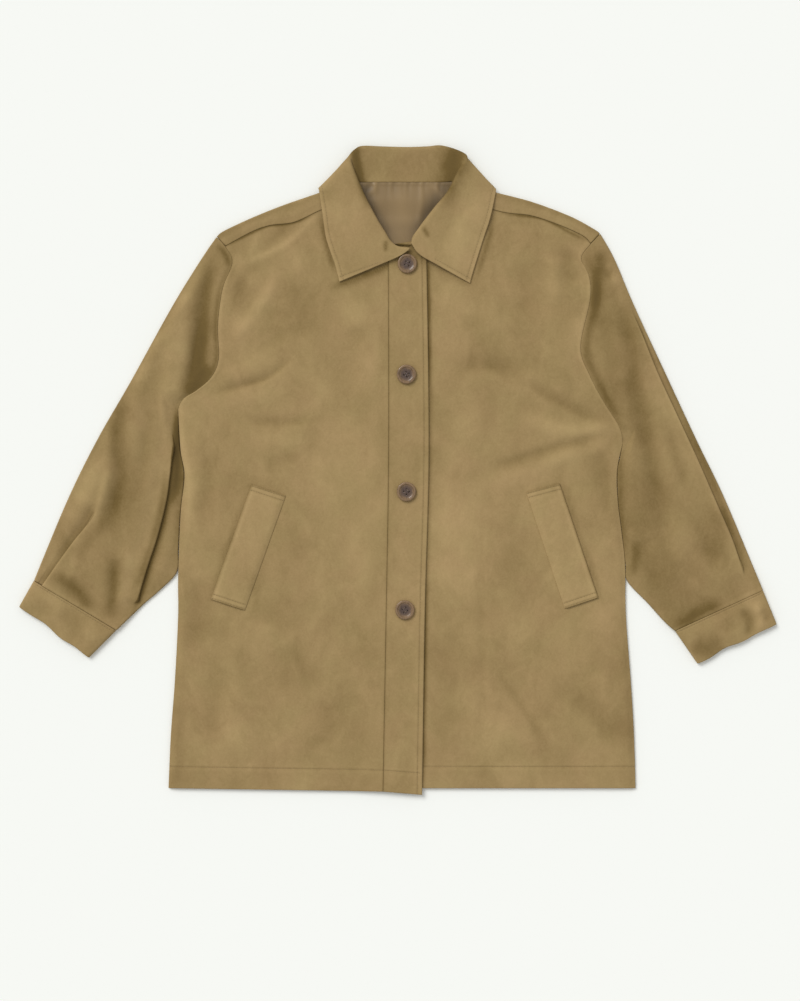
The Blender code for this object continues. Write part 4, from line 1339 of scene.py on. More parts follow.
LEFT = SideCut(
    name="left",
    outward=1,
    shoulder_fold=((252, 294), (244, 300), (214, 316), (166, 334), (122, 345), (71, 357)),
    shoulder_seam=((240, 281), (230, 291), (202, 304), (166, 316), (128, 321), (75, 336)),
    armhole_front=(
        (252, 294), (240, 281), (228, 263), (238, 240), (239, 211), (227, 152), (239, 116),
        (256, 84), (276, 52), (280, 32)),
    armhole_back=(
        (252, 294), (243, 281), (237, 258), (234, 222), (233, 180), (236, 140), (245, 104),
        (258, 76), (272, 51), (280, 32)),
    side_fold=(
        (280, 32), (273, -2), (274, -40), (279, -81), (283, -119), (284, -183), (290, -263),
        (294, -330), (296, -398)),
    neckline=((75, 336), (63, 317), (48, 299), (33, 288), (14, 284), (-6, 281)),
    hem_centre=(-8, -398),
    sleeve_outer=(
        (252, 294), (270, 262), (294, 205), (337, 112), (372, 37), (408, -38), (455, -151)),
    sleeve_inner=(
        (280, 32), (277, 14), (273.8, -2), (274.8, -40), (279.8, -81), (284, -119), (286.4, -140),
        (312, -167.4), (331, -188.6), (345, -201.6)),
    cuff=((472, -193), (373, -242)),
    pleats=(
        Pleat(((251, 270), (276, 226), (297, 184), (323.5, 120), (347, 69), (373, 13),
               (397, -42), (416.5, -87), (429, -124), (439, -153)),
              folded=(0.14, 0.36, 0.89, 0.97), inner_on_top=True),),
    # Rows with no rise only paint tone: painted shadows under the collar's leaves and along seams
    # and edges, and painted highlights; the other rows add painted shading to their folds.
    folds=Relief.of(
        3.1, 0.25,
        (12, -1.2, -0.09, 0.3, 70, 124, 98, 130, 128, 124, 152, 104),
        (8, -1.4, -0.12, 0.3, 150, 112, 178, 96, 206, 80, 232, 67, 264, 58),
        # Painted shadows along the left leaf's outer edge, along the shoulder seam and under the
        # leaf.
        (3.4, 0, -0.24, 0, 122, 322, 113, 290, 105, 262, 96, 234),
        (2, 0, -0.3, 0, 122, 323, 137, 318, 160, 315.5, 180, 312.5, 200, 303, 214, 295, 240, 283),
        (4, 0, -0.1, 0, 38, 260, 58, 247, 84, 232, 96, 228),
        (18, 0, -0.07, 0, 140, 322, 180, 300, 214, 284, 226, 262),
        (26, 0.8, 0.06, 0, 82, 80, 84, 40, 78, 0),
        (12, -0.9, -0.06, 0, 104, 132, 122, 128, 142, 122),
        (11, 1.8, 0.12, 0, 150, 66, 182, 55, 214, 46, 248, 48, 278, 48),
        (9, -1.6, -0.15, -0.3, 104, -4, 140, 9, 174, 20, 210, 31, 244, 40, 270, 45),
        (10, 1.0, 0.07, 0, 176, 8, 212, 20, 252, 29, 276, 30),
        (14, 1.1, 0.06, 0, 112, -12, 150, -2, 196, 14, 236, 24),
        (17, 1.0, 0.05, 0, 150, 126, 180, 104, 214, 88),
        (14, -1.2, -0.1, 0, 250, 16, 260, -26, 268, -74),
        (12, -1.6, -0.11, 0, 217, 276, 212, 254, 222, 228),
        (10, 1.3, 0.05, 0, 200, 268, 193, 240, 198, 206),
        (15, -0.9, -0.06, 0, 150, 262, 160, 226, 154, 186),
        (14, 1.0, 0.04, 0, 118, 240, 114, 204, 122, 168),
        (15, 0.8, 0.09, 0, 56, 232, 74, 208, 96, 184),
        (15, 1.1, 0.05, 0, 228, 196, 215, 160, 216, 128),
        (17, -1.3, -0.1, 0.2, 196, -258, 224, -288, 258, -322, 276, -346),
        (15, 1.1, 0.03, 0, 236, -256, 262, -286, 284, -318),
        (5, -0.9, -0.08, 0, 118, -250, 138, -272, 161, -306, 191, -356),
        (20, 1.0, 0.04, 0, 86, -262, 112, -306, 134, -352),
        (4, -0.4, -0.035, 0, 103, -38, 102, -140, 104, -250, 103, -362),
        (30, 0.9, 0.09, 0, 66, -10, 74, -90, 84, -170),
        (24, -0.7, -0.04, 0, 150, -60, 146, -120, 158, -190),
        (18, 0.9, 0.04, 0, 252, -80, 256, -140, 262, -210),
        (22, -0.7, -0.04, 0, 60, -196, 58, -260, 66, -330),
        (4, 0, -0.13, 0, 198, -3, 204, -18, 228, -90, 252, -161, 257, -176),
        (20, 0, -0.11, 0, 286, -200, 290, -310, 295, -420),
        (7, 0, -0.07, 0, 286, 60, 266, 30, 250, 18, 226, 4),
        (5, 0.5, 0.07, 0, 270, 46, 270, 10, 267, -20, 270, -70),
        # Painted shadow beside and under the placket's free edge, and a painted dark slit under
        # the collar's front ends.
        (2.6, 0, -0.14, 0, 38, 300, 39.6, 24, 34.6, -180, 31.6, -430),
        (2.4, 0, -0.34, 0, 36.4, 290, 37.6, 220, 38, 160, 38.6, 90),
        (3.4, 0, -0.24, 0, 35, -120, 32.6, -200, 31, -300, 30.4, -430),
        (1.3, 0, -1.3, 0, -13, 280.2, -2, 279.6, 6, 279, 12, 278.6, 22, 277.8)),
    # Rows with no rise only paint tone: painted shadows along the armhole seam, beside the body's
    # edge and along the pleat, and painted highlights; the other rows add painted shading.
    sleeve_folds=Relief.of(
        4.6, 0.3,
        (12, -2.6, -0.15, 0, 247, 276, 253, 265, 261, 249, 266, 232),
        (7, 1.6, 0.08, 0, 240, 274, 246, 262, 247, 248),
        (7, 1.4, 0.07, 0, 262, 262, 268, 248, 272, 230),
        (13, -3.6, -0.14, 0, 258, 262, 272, 226, 286, 176, 296, 110, 309, 45, 319, -8, 332, -70,
         338, -100),
        (15, -1.5, -0.08, 0, 248, 240, 254, 206, 260, 160, 270, 110, 286, 60),
        (7, -1.8, -0.09, 0, 332, 54, 340, 32, 349, 8, 363, -34),
        (38, 0, -0.15, 0, 284, 10, 312, -80, 340, -150, 366, -230),
        (4, 1.0, 0.06, 0, 280, 226, 300, 184, 320, 132, 342, 80, 366, 26, 390, -28),
        (15, 3.2, 0.01, -0.2, 292, 186, 307, 134, 324, 92, 345, 44, 360, 4, 378, -34),
        (8, 0, -0.24, 0, 238, 282, 247, 256, 248, 222, 240, 196),
        (10, 0, 0.09, 0, 390, -20, 404, -56, 416, -96, 428, -132),
        (17, -2.8, -0.13, -0.2, 388, -34, 402, -66, 396, -104, 384, -126),
        (12, 1.9, 0.02, 0, 340, -66, 350, -94, 352, -126),
        (10, -2.2, -0.22, 0, 344, -206, 360, -190, 382, -175, 408, -166),
        (12, 1.5, 0, 0, 314, -88, 332, -118, 350, -148),
        (12, -1.6, -0.06, 0, 296, -80, 306, -116, 322, -152),
        (9, -0.8, -0.04, 0, 372, -60, 384, -90, 378, -116),
        (6, 0, -0.2, 0, 294, -88, 296, -112, 290, -136),
        (3.5, 0, -0.18, 0, 302, 196, 327, 133, 354, 73, 367, 43, 397, -24, 428, -109),
        (7, 0, 0.08, 0, 258, 270, 272, 232, 284, 196),
        (6, 0, -0.18, 0, 270, 70, 276, 0, 276, -50, 284, -140),
        (6, 0, -0.24, 0, 228, 276, 244, 240, 246, 208, 234, 152, 246, 116, 268, 74, 286, 40)),
    cuff_folds=Relief.of(
        5.3, 0.5,
        (7, -2.2, -0.16, 0, 428, -172, 438, -190, 436, -212),
        (6, 1.8, 0.1, 0, 440, -166, 452, -182, 450, -204),
        (6, -1.4, -0.12, 0, 452, -174, 462, -190),
        (16, -0.8, -0.2, 0, 362, -214, 384, -224, 408, -212),
        (9, -0.8, -0.05, 0, 408, -184, 418, -204)),
    welt=((201, -18), (159, -29), (207, -174), (249, -160)),
)

PLACKET_SEAM: Table = ((-12.5, 277), (-12, 24), (-15, -176), (-19, -402))
PLACKET_EDGE: Table = ((35, 271), (38, 24), (33, -180), (29.6, -406))
PLACKET_TOP: Table = ((-12.5, 277), (16, 277), (35, 271))
BUTTON_CENTRES: Table = ((11, 256), (10, 118), (10, -28), (8, -175))
NECK_SEAM: Table = ((-58, 358.9), (68, 358.9))
LINING_CORNERS: Table = ((-57.5, 237.0), (67.5, 237.0))
HEM_TURN = 27.0


@dataclass(frozen=True)
class BodyForm:
    """The heights of the layers of the body, which everything on it follows."""

    LOFT: ClassVar[float] = 2.6
    DEPTH: ClassVar[float] = 1.3
    MIDDLE: ClassVar[float] = 4.0
    COLLAR_MIDDLE: ClassVar[float] = 12.0

    def collar_lift(self, x: Values, y: Values) -> Values:
        """How far the back is lifted by the collar's fall below it."""
        return COLLAR_LIFT * ramp(142, 108, np.abs(x - self.COLLAR_MIDDLE)) * ramp(314, 338, y)

    def loft(self, x: Values, y: Values) -> Values:
        """How far the fronts stand off the back where nothing presses them down."""
        sides = ramp(286, 190, np.abs(x - self.MIDDLE))
        return self.LOFT * sides * ramp(-400, -318, y) * ramp(252, 176, y)

    def front(self, cut: SideCut, x: Values, y: Values) -> Values:
        """The height of the middle of a front's cloth.

        Args:
            cut: The front's side.
            x: The places' x.
            y: Their y.

        Returns:
            The heights.
        """
        away = np.abs(Line.through(cut.side_fold).nearest(x, y)[0])
        inward = x * cut.outward
        folds = cut.folds.height(x, y) * ramp(0, 30, away) * ramp(16, 62, inward)
        folds = folds * mix(0.25, 1.0, ramp(-402, -360, y))
        air = mix(LAY_GAP, AIR, ramp(0, 9, away)) + folds * self.DEPTH + self.loft(x, y)
        air = np.maximum(air, LAY_GAP)
        placket = PLACKET_LIFT * ramp(64, 20, inward) if cut.outward < 0 else 0.0
        return self.collar_lift(x, y) + CLOTH * 1.5 + air + placket


@dataclass
class Front:
    """One front, from the shoulder seam to the hem."""

    cut: SideCut
    form: BodyForm
    length: float = 760.0
    width: float = 285.0
    hem_turn: float = HEM_TURN
    lip: float = 3.2
    lip_rise: float = 0.35
    lip_highlight: float = 0.07
    lip_full: float = 200.0
    lip_end: float = 420.0
    placket_edge: float = 43.0

    def patch(self) -> Patch:
        """The front's outlines.

        Returns:
            The patch between them.
        """
        cut = self.cut
        top = Line.through(cut.shoulder_seam, cut.neckline)
        start = Line.through(cut.armhole_front[1:], cut.side_fold)
        corner = tuple(start.at(1.0))
        centre = PLACKET_SEAM if cut.outward < 0 else (cut.neckline[-1], cut.hem_centre)
        return Patch(top, Line.through((corner, cut.hem_centre)), start, Line.through(centre))

    def sheet(self) -> Sheet:
        """The middle of the front's cloth.

        Returns:
            The sheet.
        """
        down = spacing(self.length, COARSE_STEP, self.length - self.hem_turn)
        across = spacing(self.width, COARSE_STEP, self.lip, self.width - self.placket_edge)
        plan = self.patch().places(across, down, SEAM_TOUCH)
        x, y = plan[..., 0], plan[..., 1]
        height = self.form.front(self.cut, x, y)
        sewn = (Edge.TOP, Edge.END) if self.cut.outward < 0 else (Edge.TOP,)
        sheet = Sheet(at_height(plan, height), sewn=sewn, tone=self.cut.folds.tone(x, y))
        away, along = sheet.away(Edge.START), sheet.along(Edge.START)
        # A lip along the side fold, lifted a little and painted lighter as a painted highlight.
        lip = bell(away - self.lip, self.lip) * ramp(self.lip_end, self.lip_full, along)
        sheet.places[..., 2] += self.lip_rise * lip
        sheet.tone = sheet.tone + self.lip_highlight * lip
        sheet.sew(self.seams())
        return sheet

    def seams(self) -> tuple[Seam, ...]:
        """The front's stitched lines."""
        return (Seam(Edge.BOTTOM, self.hem_turn, depth=0.45, pucker=0.24, dark=-0.05),)

    def build(self, suede: bpy.types.Material, stitching: Stitching) -> bpy.types.Object:
        """Makes the front and sews its seams.

        Args:
            suede: The finish.
            stitching: What sews it.

        Returns:
            The piece.
        """
        sheet = self.sheet()
        stitching.seams(sheet, self.seams(), CLOTH)
        piece = cloth(f"front_{self.cut.name}", CLOTH, suede, sheet)
        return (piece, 0.19 if self.cut.outward > 0 else 0.175)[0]


@dataclass
class Back:
    """The back, with its wraps over the shoulders."""

    form: BodyForm
    folds: Relief = Relief.of(
        6.0, 0.3,
        (26, 1.3, 0, 0, -190, 120, -150, 40, -160, -60),
        (22, 1.1, 0, 0, 170, 130, 140, 60, 150, -40),
        (30, 1.2, 0, 0, -90, -120, -60, -210, -80, -320),
        (28, 1.2, 0, 0, 110, -90, 130, -200, 100, -310),
        (20, 1.0, 0, 0, -30, 200, -10, 120, -20, 30),
        (22, 1.0, 0, 0, 30, 170, 60, 90, 50, 10),
        (24, 0.9, 0, 0, -210, -160, -200, -240, -220, -330),
        (24, 0.9, 0, 0, 220, -140, 214, -230, 226, -320))
    length: float = 740.0
    shoulder_columns: int = 58
    neck_columns: int = 36
    turn_rows: int = 10
    over_rows: int = 12
    rims: tuple[Edge, ...] = (Edge.BOTTOM, Edge.START, Edge.END)
    # Painted shade along the roll of each shoulder's fold.
    rim_shade: float = -0.1

    def moved(self, points: Values, distance: float) -> Values:
        """A line's points moved to the left of its direction.

        Args:
            points: The points.
            distance: How far they are moved.

        Returns:
            The moved points.
        """
        run = np.gradient(points, axis=0)
        run = run / np.linalg.norm(run, axis=1, keepdims=True)
        return points + np.stack([-run[:, 1], run[:, 0]], axis=-1) * distance

    def shoulder(self, cut: SideCut) -> Values:
        """Where the back starts to turn up over a shoulder, from its tip to the neck.

        Args:
            cut: The side.

        Returns:
            The places.
        """
        shares = spacing(180.0, 180.0 / self.shoulder_columns)
        line = Line.through(cut.shoulder_fold).at(mix(0.0025, 1.0, shares))
        return self.moved(line, cut.outward * (FOLD_RADIUS + CLOTH / 2))

    def panel(self) -> Sheet:
        """The part that lies flat.

        Returns:
            The sheet.
        """
        right, left = self.shoulder(RIGHT), self.shoulder(LEFT)[::-1]
        neck = Line.through(NECK_SEAM).at(np.linspace(0, 1, self.neck_columns))
        top = Line(np.vstack([right, neck, left]))
        sides = [Line.through((tuple(first), *cut.armhole_back[1:]), cut.side_fold)
                 for first, cut in ((right[0], RIGHT), (left[-1], LEFT))]
        hem = Line.through((tuple(sides[0].at(1.0)), tuple(sides[1].at(1.0))))
        across = top.marks / top.length
        down = spacing(self.length, COARSE_STEP, self.length - HEM_TURN)
        plan = Patch(top, hem, *sides).places(across, down)
        x, y = plan[..., 0], plan[..., 1]
        height = BACK_MID + self.form.collar_lift(x, y)
        sheet = Sheet(
            at_height(plan, height), rims=self.rims, tone=self.folds.tone(x, y), level=Edge.TOP)
        inside = np.minimum(sheet.away(Edge.START), sheet.away(Edge.END))
        free = ramp(6, 60, inside) * ramp(90, 150, sheet.away(Edge.TOP))
        free = free * ramp(0, 40, sheet.away(Edge.BOTTOM))
        sheet.places[..., 2] += np.maximum(self.folds.height(x, y), 0.0) * free
        return sheet

    def wrap(self, cut: SideCut) -> Sheet:
        """The part that turns over a shoulder and comes down to the forward seam.

        Args:
            cut: The side.

        Returns:
            The sheet.
        """
        start = self.shoulder(cut)
        apex = self.moved(start, -cut.outward * FOLD_RADIUS)
        low = BACK_MID + self.form.collar_lift(start[:, 0], start[:, 1])
        angles = np.linspace(0, math.pi, self.turn_rows + 1)[:, None]
        plan = mix(start[None], apex[None], np.sin(angles)[..., None])
        height = low[None] + FOLD_RADIUS * (1 - np.cos(angles))
        shares = Line(start).marks / Line(start).length
        seam = Line.through(cut.shoulder_seam).at(mix(0.004, 1.0, shares))
        seam = self.moved(seam, -cut.outward * SEAM_GAP / 2)
        over = self.form.front(cut, seam[:, 0], seam[:, 1])
        part = spacing(14.0, 14.0 / self.over_rows)[1:, None]
        rows = mix(start[None], seam[None], part[..., None])
        crown = 0.5 * np.sin(part * math.pi) + wave(shares * 180, 26.0, cut.outward)[None] * 0.2
        heights = mix(height[-1][None], over[None], ramp(0, 1, part)) + crown * ramp(1, 0.6, part)
        places = np.vstack([at_height(plan, height), at_height(rows, heights)])
        # Painted shade over the shoulder's roll, fading out toward the seam.
        rim = np.concatenate([np.ones(self.turn_rows + 1), ramp(0.5, 0, part[:, 0])])
        return Sheet(
            places, rims=self.rims, sewn=(Edge.BOTTOM, Edge.START), level=Edge.TOP,
            tone=self.rim_shade * rim[:, None] * np.ones((1, places.shape[1])))

    def build(self, suede: bpy.types.Material) -> bpy.types.Object:
        """Makes the back."""
        piece = cloth("back", CLOTH, suede, self.panel(), self.wrap(RIGHT), self.wrap(LEFT))
        return piece


@dataclass
class Lining:
    """The satin lining that shows inside the neck, puckered at its seam."""

    form: BodyForm
    # Painted shadows along the collar leaves' edges, and painted highlights on the puckers near
    # the seam.
    folds: Relief = Relief.of(
        7.0, 0.12,
        (6, 0, -0.22, 0, -42, 354, -38, 350, -34, 346),
        (4, 0.8, 0.08, 0, -27, 357, -30, 350, -38, 341),
        (7, 0.8, 0.06, 0, -36, 338, -25, 333, -22, 312, -15, 294),
        (7, -0.4, -0.42, 0, -54, 368, -40, 342, -28, 320, -17, 301, -6, 283),
        (14, 0.5, 0.12, 0, -4, 352, 4, 330, 6, 300),
        (4, 0.7, 0.08, 0, 31, 356, 29, 332, 24, 302),
        (9, -0.3, -0.1, 0, 40, 346, 38, 326, 30, 306),
        (4, 0.9, 0.16, 0, 38, 356, 46, 350, 58, 335),
        (9, 0, -0.4, 0, 70, 372, 51, 340, 37, 319, 24, 300, 12, 284))
    PUCKER: ClassVar[float] = 0.8
    NECK_LIFT: ClassVar[float] = 1.2
    LOWEST: ClassVar[float] = 0.2
    GATHER_SHADING: ClassVar[float] = 0.13

    def build(self, satin: bpy.types.Material) -> bpy.types.Object:
        """Makes the lining.

        Args:
            satin: The finish.

        Returns:
            The piece.
        """
        outlines = (NECK_SEAM, LINING_CORNERS, *zip(NECK_SEAM, LINING_CORNERS))
        plan = Patch(*(Line.through(outline) for outline in outlines)).places(
            spacing(125.0, 1.3), spacing(121.0, 1.5, 2.0), 0.15)
        x, y = plan[..., 0], plan[..., 1]
        base = BACK_MID + CLOTH / 2 + SEAM_GAP + LINING_CLOTH / 2 + self.form.collar_lift(x, y)
        sheet = Sheet(at_height(plan, base), sewn=(Edge.TOP,), tone=self.folds.tone(x, y))
        away, along = sheet.away(Edge.TOP), sheet.along(Edge.TOP)
        gathers = wave(along, 9.5, 1.3) * np.exp(-away / 9)
        gathers = gathers + 0.5 * wave(along, 17, 2.9) * np.exp(-away / 22)
        rise = self.NECK_LIFT * ramp(7, 0, away)
        rise = rise + self.PUCKER * (gathers + 0.9) * ramp(0, 5, away)
        rise = rise + np.maximum(self.folds.height(x, y), -self.LOWEST) + self.LOWEST
        sheet.places[..., 2] += np.maximum(rise, 0.0)
        # Painted shading of the gathers: lighter on their crests, darker in their hollows.
        sheet.tone = sheet.tone + self.GATHER_SHADING * gathers
        mesher = Mesher("back_lining_satin")
        mesher.sheet(sheet, LINING_CLOTH)
        piece = publish(mesher.finish(satin), Slot.LINING, "back_lining")
        return piece


@dataclass(frozen=True)
class SleeveLayer:
    """One layer of a sleeve on the plan, between its armhole, its two folds and its cuff.

    The rows turn round the underarm first: the inner fold lags behind the outer one, and the
    armhole's curve dies away fast and then turns over, so that they bow outward.
    """

    armhole: Line
    outer: Line
    inner: Line
    LAG: ClassVar[tuple[float, float]] = (0.28, 0.9)
    DECAY: ClassVar[int] = 8
    ROW_BOW: ClassVar[float] = 3.0
    BOW: ClassVar[float] = 8.0

    def places(self, across: Values, down: Values) -> Values:
        """The places at shares across, on rows at shares down.

        Args:
            across: The shares across.
            down: The rows' shares down.

        Returns:
            Places on the plan.
        """
        turn, share = self.LAG
        lag = mix(down, np.maximum(down - turn, 0) / (1 - turn), share)
        straight = 1 - (1 - down) ** self.DECAY + self.ROW_BOW * down * (1 - down) ** 3
        u, v = across[..., None], straight[..., None]
        ends = [line.at(place) for line in (self.outer, self.inner) for place in (0.0, 1.0)]
        upper, lower = mix(ends[0], ends[2], u), mix(ends[1], ends[3], u)
        ruled = mix(self.armhole.at(across), lower, v)
        place = ruled + mix(self.outer.at(down), self.inner.at(lag), u) - mix(upper, lower, v)
        reach = math.dist(self.armhole.at(0.0), self.armhole.at(1.0)) / self.BOW
        bow = self.BOW * (1 - np.exp(-np.maximum(1 - across, 0) * reach)) * ramp(0.3, 0.8, across)
        bow = bow * ramp(0, 0.12, down) * ramp(0.5, 0.23, down)
        place[..., 0] += math.copysign(1.0, ends[0][0]) * bow
        return place


@dataclass
class Tube:
    """A flattened tube of cloth, by its section on each row.

    Attributes:
        along: How far across the tube each column is, in millimetres.
        height: Its height.
        marks: How far down the tube each row is.
        thickness: The wall's.
    """

    along: Values
    height: Values
    marks: Values
    thickness: float
    turn_columns: ClassVar[int] = 5

    @classmethod
    def closed(cls, top: tuple[Values, Values], low: tuple[Values, Values], width: Values,
               marks: Values, thickness: float) -> "Tube":
        """A tube from its upper and its lower side, joined by two rolled folds.

        Args:
            top: How far across and how high the upper side is, outer fold to inner fold.
            low: The same for the lower side.
            width: The flat width of each row.
            marks: How far down each row is.
            thickness: The wall's.

        Returns:
            The tube.
        """
        angles = np.linspace(math.pi / 2, -math.pi / 2, cls.turn_columns + 2)[1:-1][None]
        nose = thickness / 2
        parts = [top]
        for column, edge, sign in ((-1, width - nose, 1.0), (0, nose + 0 * width, -1.0)):
            high, base = top[1][:, [column]], low[1][:, [column]]
            inner = top[0][:, [column]]
            along = inner + (edge - inner) * np.cos(angles)
            height = (high + base) / 2 + (high - base) / 2 * np.sin(angles) * sign
            parts.append((along, height))
            if sign > 0:
                parts.append((low[0][:, ::-1], low[1][:, ::-1]))
        return cls(
            np.hstack([part[0] for part in parts]), np.hstack([part[1] for part in parts]),
            marks, thickness)

    def skins(self) -> list[tuple[Values, Values]]:
        """The outer and the inner side, as distances across and heights.

        Returns:
            A pair of grids for each side.
        """
        run = np.roll(self.along, -1, axis=1) - np.roll(self.along, 1, axis=1)
        rise = np.roll(self.height, -1, axis=1) - np.roll(self.height, 1, axis=1)
        size = np.maximum(np.hypot(run, rise), 1e-9)
        half = self.thickness / 2
        rim = np.clip(np.minimum(self.marks, self.marks[-1] - self.marks) / half, 0, 1)
        offset = (half * np.sqrt(1 - (1 - rim) ** 2))[:, None]
        made = []
        for side in (1, -1):
            out = self.along - side * rise / size * offset
            level = self.height + side * run / size * offset
            made.append(tuple(np.hstack([part, part[:, :1]]) for part in (out, level)))
        return made


@dataclass
class Sleeve:
    """A sleeve, from the armhole seam to the cuff seam."""

    cut: SideCut
    form: BodyForm
    column_step: float = 3.0
    row_step: float = 3.2
    samples: int = 25
    margin: float = 8.6
    lip: float = 3.2
    lip_reach: float = 2.0
    lip_highlight: float = 0.08

    def layers(self) -> tuple[SleeveLayer, SleeveLayer]:
        """The upper and the lower layer on the plan.

        Returns:
            The two layers.
        """
        outer, inner = Line.through(self.cut.sleeve_outer), Line.through(self.cut.sleeve_inner)
        inner = Line(inner.points - np.array((self.cut.outward * SIDE_TOUCH, 0.0)))
        return (SleeveLayer(Line.through(self.cut.armhole_front), outer, inner),
                SleeveLayer(Line.through(self.cut.armhole_back), outer, inner))

    def base(self, layer: SleeveLayer, along: Values, width: Values, down: Values) -> Values:
        """The height of the upper side where it is in no pleat.

        Args:
            layer: The upper layer.
            along: How far across each place is.
            width: Each row's width.
            down: Each row's share down.

        Returns:
            The heights.
        """
        place = layer.places(along / width, down)
        away = np.minimum(along, width - along)
        rise = ramp(0, 30, away)
        folds = self.cut.sleeve_folds.height(place[..., 0], place[..., 1])
        height = np.maximum(mix(SLEEVE_LOW, SLEEVE_TOP, rise) + folds * rise, SLEEVE_LOW)
        return mix(height, CUFF_TOP + 0 * height, ramp(0.88, 1, down))

    def top(self, layer: SleeveLayer, width: Values,
            down: Values) -> tuple[Values, Values, Values]:
        """The upper side: how far across, how high and how dark each column is.

        Args:
            layer: The upper layer.
            width: Each row's width.
            down: Each row's share down.

        Returns:
            Three grids.
        """
        seam = 1 - ramp(0, 0.07, down)
        inset = CLOTH / 2 + mix(LAYER_STEP / 2, FOLD_RADIUS, seam)
        edges = []
        for pleat in self.cut.pleats:
            centre, fold = pleat.edge(layer, down)
            edges.append((pleat, np.minimum(centre * width, width - self.margin), fold))
        stops = [inset]
        for pleat, centre, _ in edges:
            ends = (pleat.LEAD, pleat.TAIL)
            lead, tail = ends if pleat.inner_on_top else ends[::-1]
            stops += [np.maximum(centre - lead, inset + 0.4), centre + tail]
        stops.append(width - inset)
        parts = []
        for index in range(0, len(stops), 2):
            first, last = stops[index], stops[index + 1]
            count = max(round(float(np.max(last - first)) / self.column_step), 2)
            inner = index + 2 < len(stops)
            shares = np.linspace(0, 1, count + 1)[1 if index else 0:count if inner else count + 1]
            parts.append(first + (last - first) * shares[None])
            if inner:
                pleat, centre, fold = edges[index // 2]
                offsets, _ = pleat.section(fold)
                stretch = (centre - stops[index + 1]) / -offsets[:, :1]
                offsets = np.where(offsets < 0, offsets * np.clip(stretch, 0, 1), offsets)
                parts.append(centre + offsets)
        along = np.hstack(parts)
        height = self.base(layer, along, width, down)
        place = layer.places(along / width, down)
        tone = self.cut.sleeve_folds.tone(place[..., 0], place[..., 1])
        for pleat, centre, fold in edges:
            height, tone = self.pleated(pleat, parts, along, height, tone, centre, fold)
        origin = layer.places(along / width, 0 * down)
        start = self.form.front(self.cut, origin[..., 0], origin[..., 1])
        return along, mix(height, start, seam), tone

    def pleated(self, pleat: Pleat, parts: list[Values], along: Values, height: Values,
                tone: Values, centre: Values, fold: Values) -> tuple[Values, Values]:
        """The heights and tones with one pleat's layers in them.

        Args:
            pleat: The pleat.
            parts: The runs of columns in and between the pleats.
            along: How far across each place is.
            height: The heights without it.
            tone: The tones without it.
            centre: Where its edge is on each row.
            fold: How far it is folded on each row.

        Returns:
            The heights and the tones.
        """
        full = ramp(0, 0.5, fold)
        gap = (along - centre) * (1 if pleat.inner_on_top else -1)
        raised = mix(PLEAT_TOP, height, ramp(12, 40, gap))
        lowered = mix(SLEEVE_LOW, height, ramp(2, 22, -gap))
        made = mix(height, np.where(gap > 0, raised, lowered), full)
        first = sum(part.shape[1] for part in parts[:2 * self.cut.pleats.index(pleat) + 1])
        block = slice(first, first + pleat.COLUMNS)
        _, shares = pleat.section(fold)
        low = mix(height[:, block], SLEEVE_LOW, full)
        high = mix(height[:, block], PLEAT_TOP, full)
        made[:, block] = mix(low, high, shares)
        # Painted shadow on the lower side beside the pleat's edge, and painted highlight along
        # its nose.
        lower = bell(np.minimum(gap, 0), pleat.SHADE_REACH) * (gap < 1.0)
        nose = bell(gap - pleat.NOSE[0], pleat.NOSE[1])
        return made, tone - pleat.shade * full * lower + pleat.NOSE_HIGHLIGHT * full * nose

    def build(self, suede: bpy.types.Material) -> bpy.types.Object:
        """Makes the sleeve.

        Args:
            suede: The finish.

        Returns:
            The piece.
        """
        upper, lower = self.layers()
        length = upper.outer.length
        down = spacing(length, self.row_step)[:, None]
        shares = np.linspace(0, 1, self.samples)
        samples = upper.places(np.broadcast_to(shares, (len(down), self.samples)), down)
        width = np.linalg.norm(np.diff(samples, axis=1), axis=2).sum(axis=1)[:, None]
        along, height, tone = self.top(upper, width, down)
        # Painted highlight on the lip just above the cuff seam.
        tone = tone + self.lip_highlight * bell((1 - down) * length - self.lip, self.lip_reach)
        count = round(float(width.max()) / self.column_step)
        flat = along[:, :1] + (along[:, -1:] - along[:, :1]) * np.linspace(0, 1, count + 1)[None]
        hollow = 0.5 * (1 + wave(flat + 0 * down, 41.0, self.cut.outward)) * ramp(0, 25, flat)
        hollow = hollow * ramp(0, 0.15, down) * ramp(1, 0.85, down) * ramp(0, 25, width - flat)
        tube = Tube.closed(
            (along, height), (flat, BACK_MID + hollow), width, down[:, 0] * length, CLOTH)
        mesher = Mesher(f"sleeve_{self.cut.name}_cloth")
        turn = np.linspace(0, 1, tube.turn_columns + 2)[1:-1]
        under = np.concatenate([
            np.zeros(along.shape[1]), turn, np.ones(flat.shape[1]), turn[::-1], [0.0]])
        shade = np.hstack([
            tone, np.repeat(tone[:, -1:], len(turn), axis=1), 0 * (flat + down),
            np.repeat(tone[:, :1], len(turn) + 1, axis=1)])
        for skin, level in tube.skins():
            places = mix(
                upper.places(skin / width, down), lower.places(skin / width, down),
                under[None, :, None])
            mesher.grid(at_height(places, level), shade)
        piece = publish(mesher.finish(suede), Slot.SUEDE, f"sleeve_{self.cut.name}")
        return piece


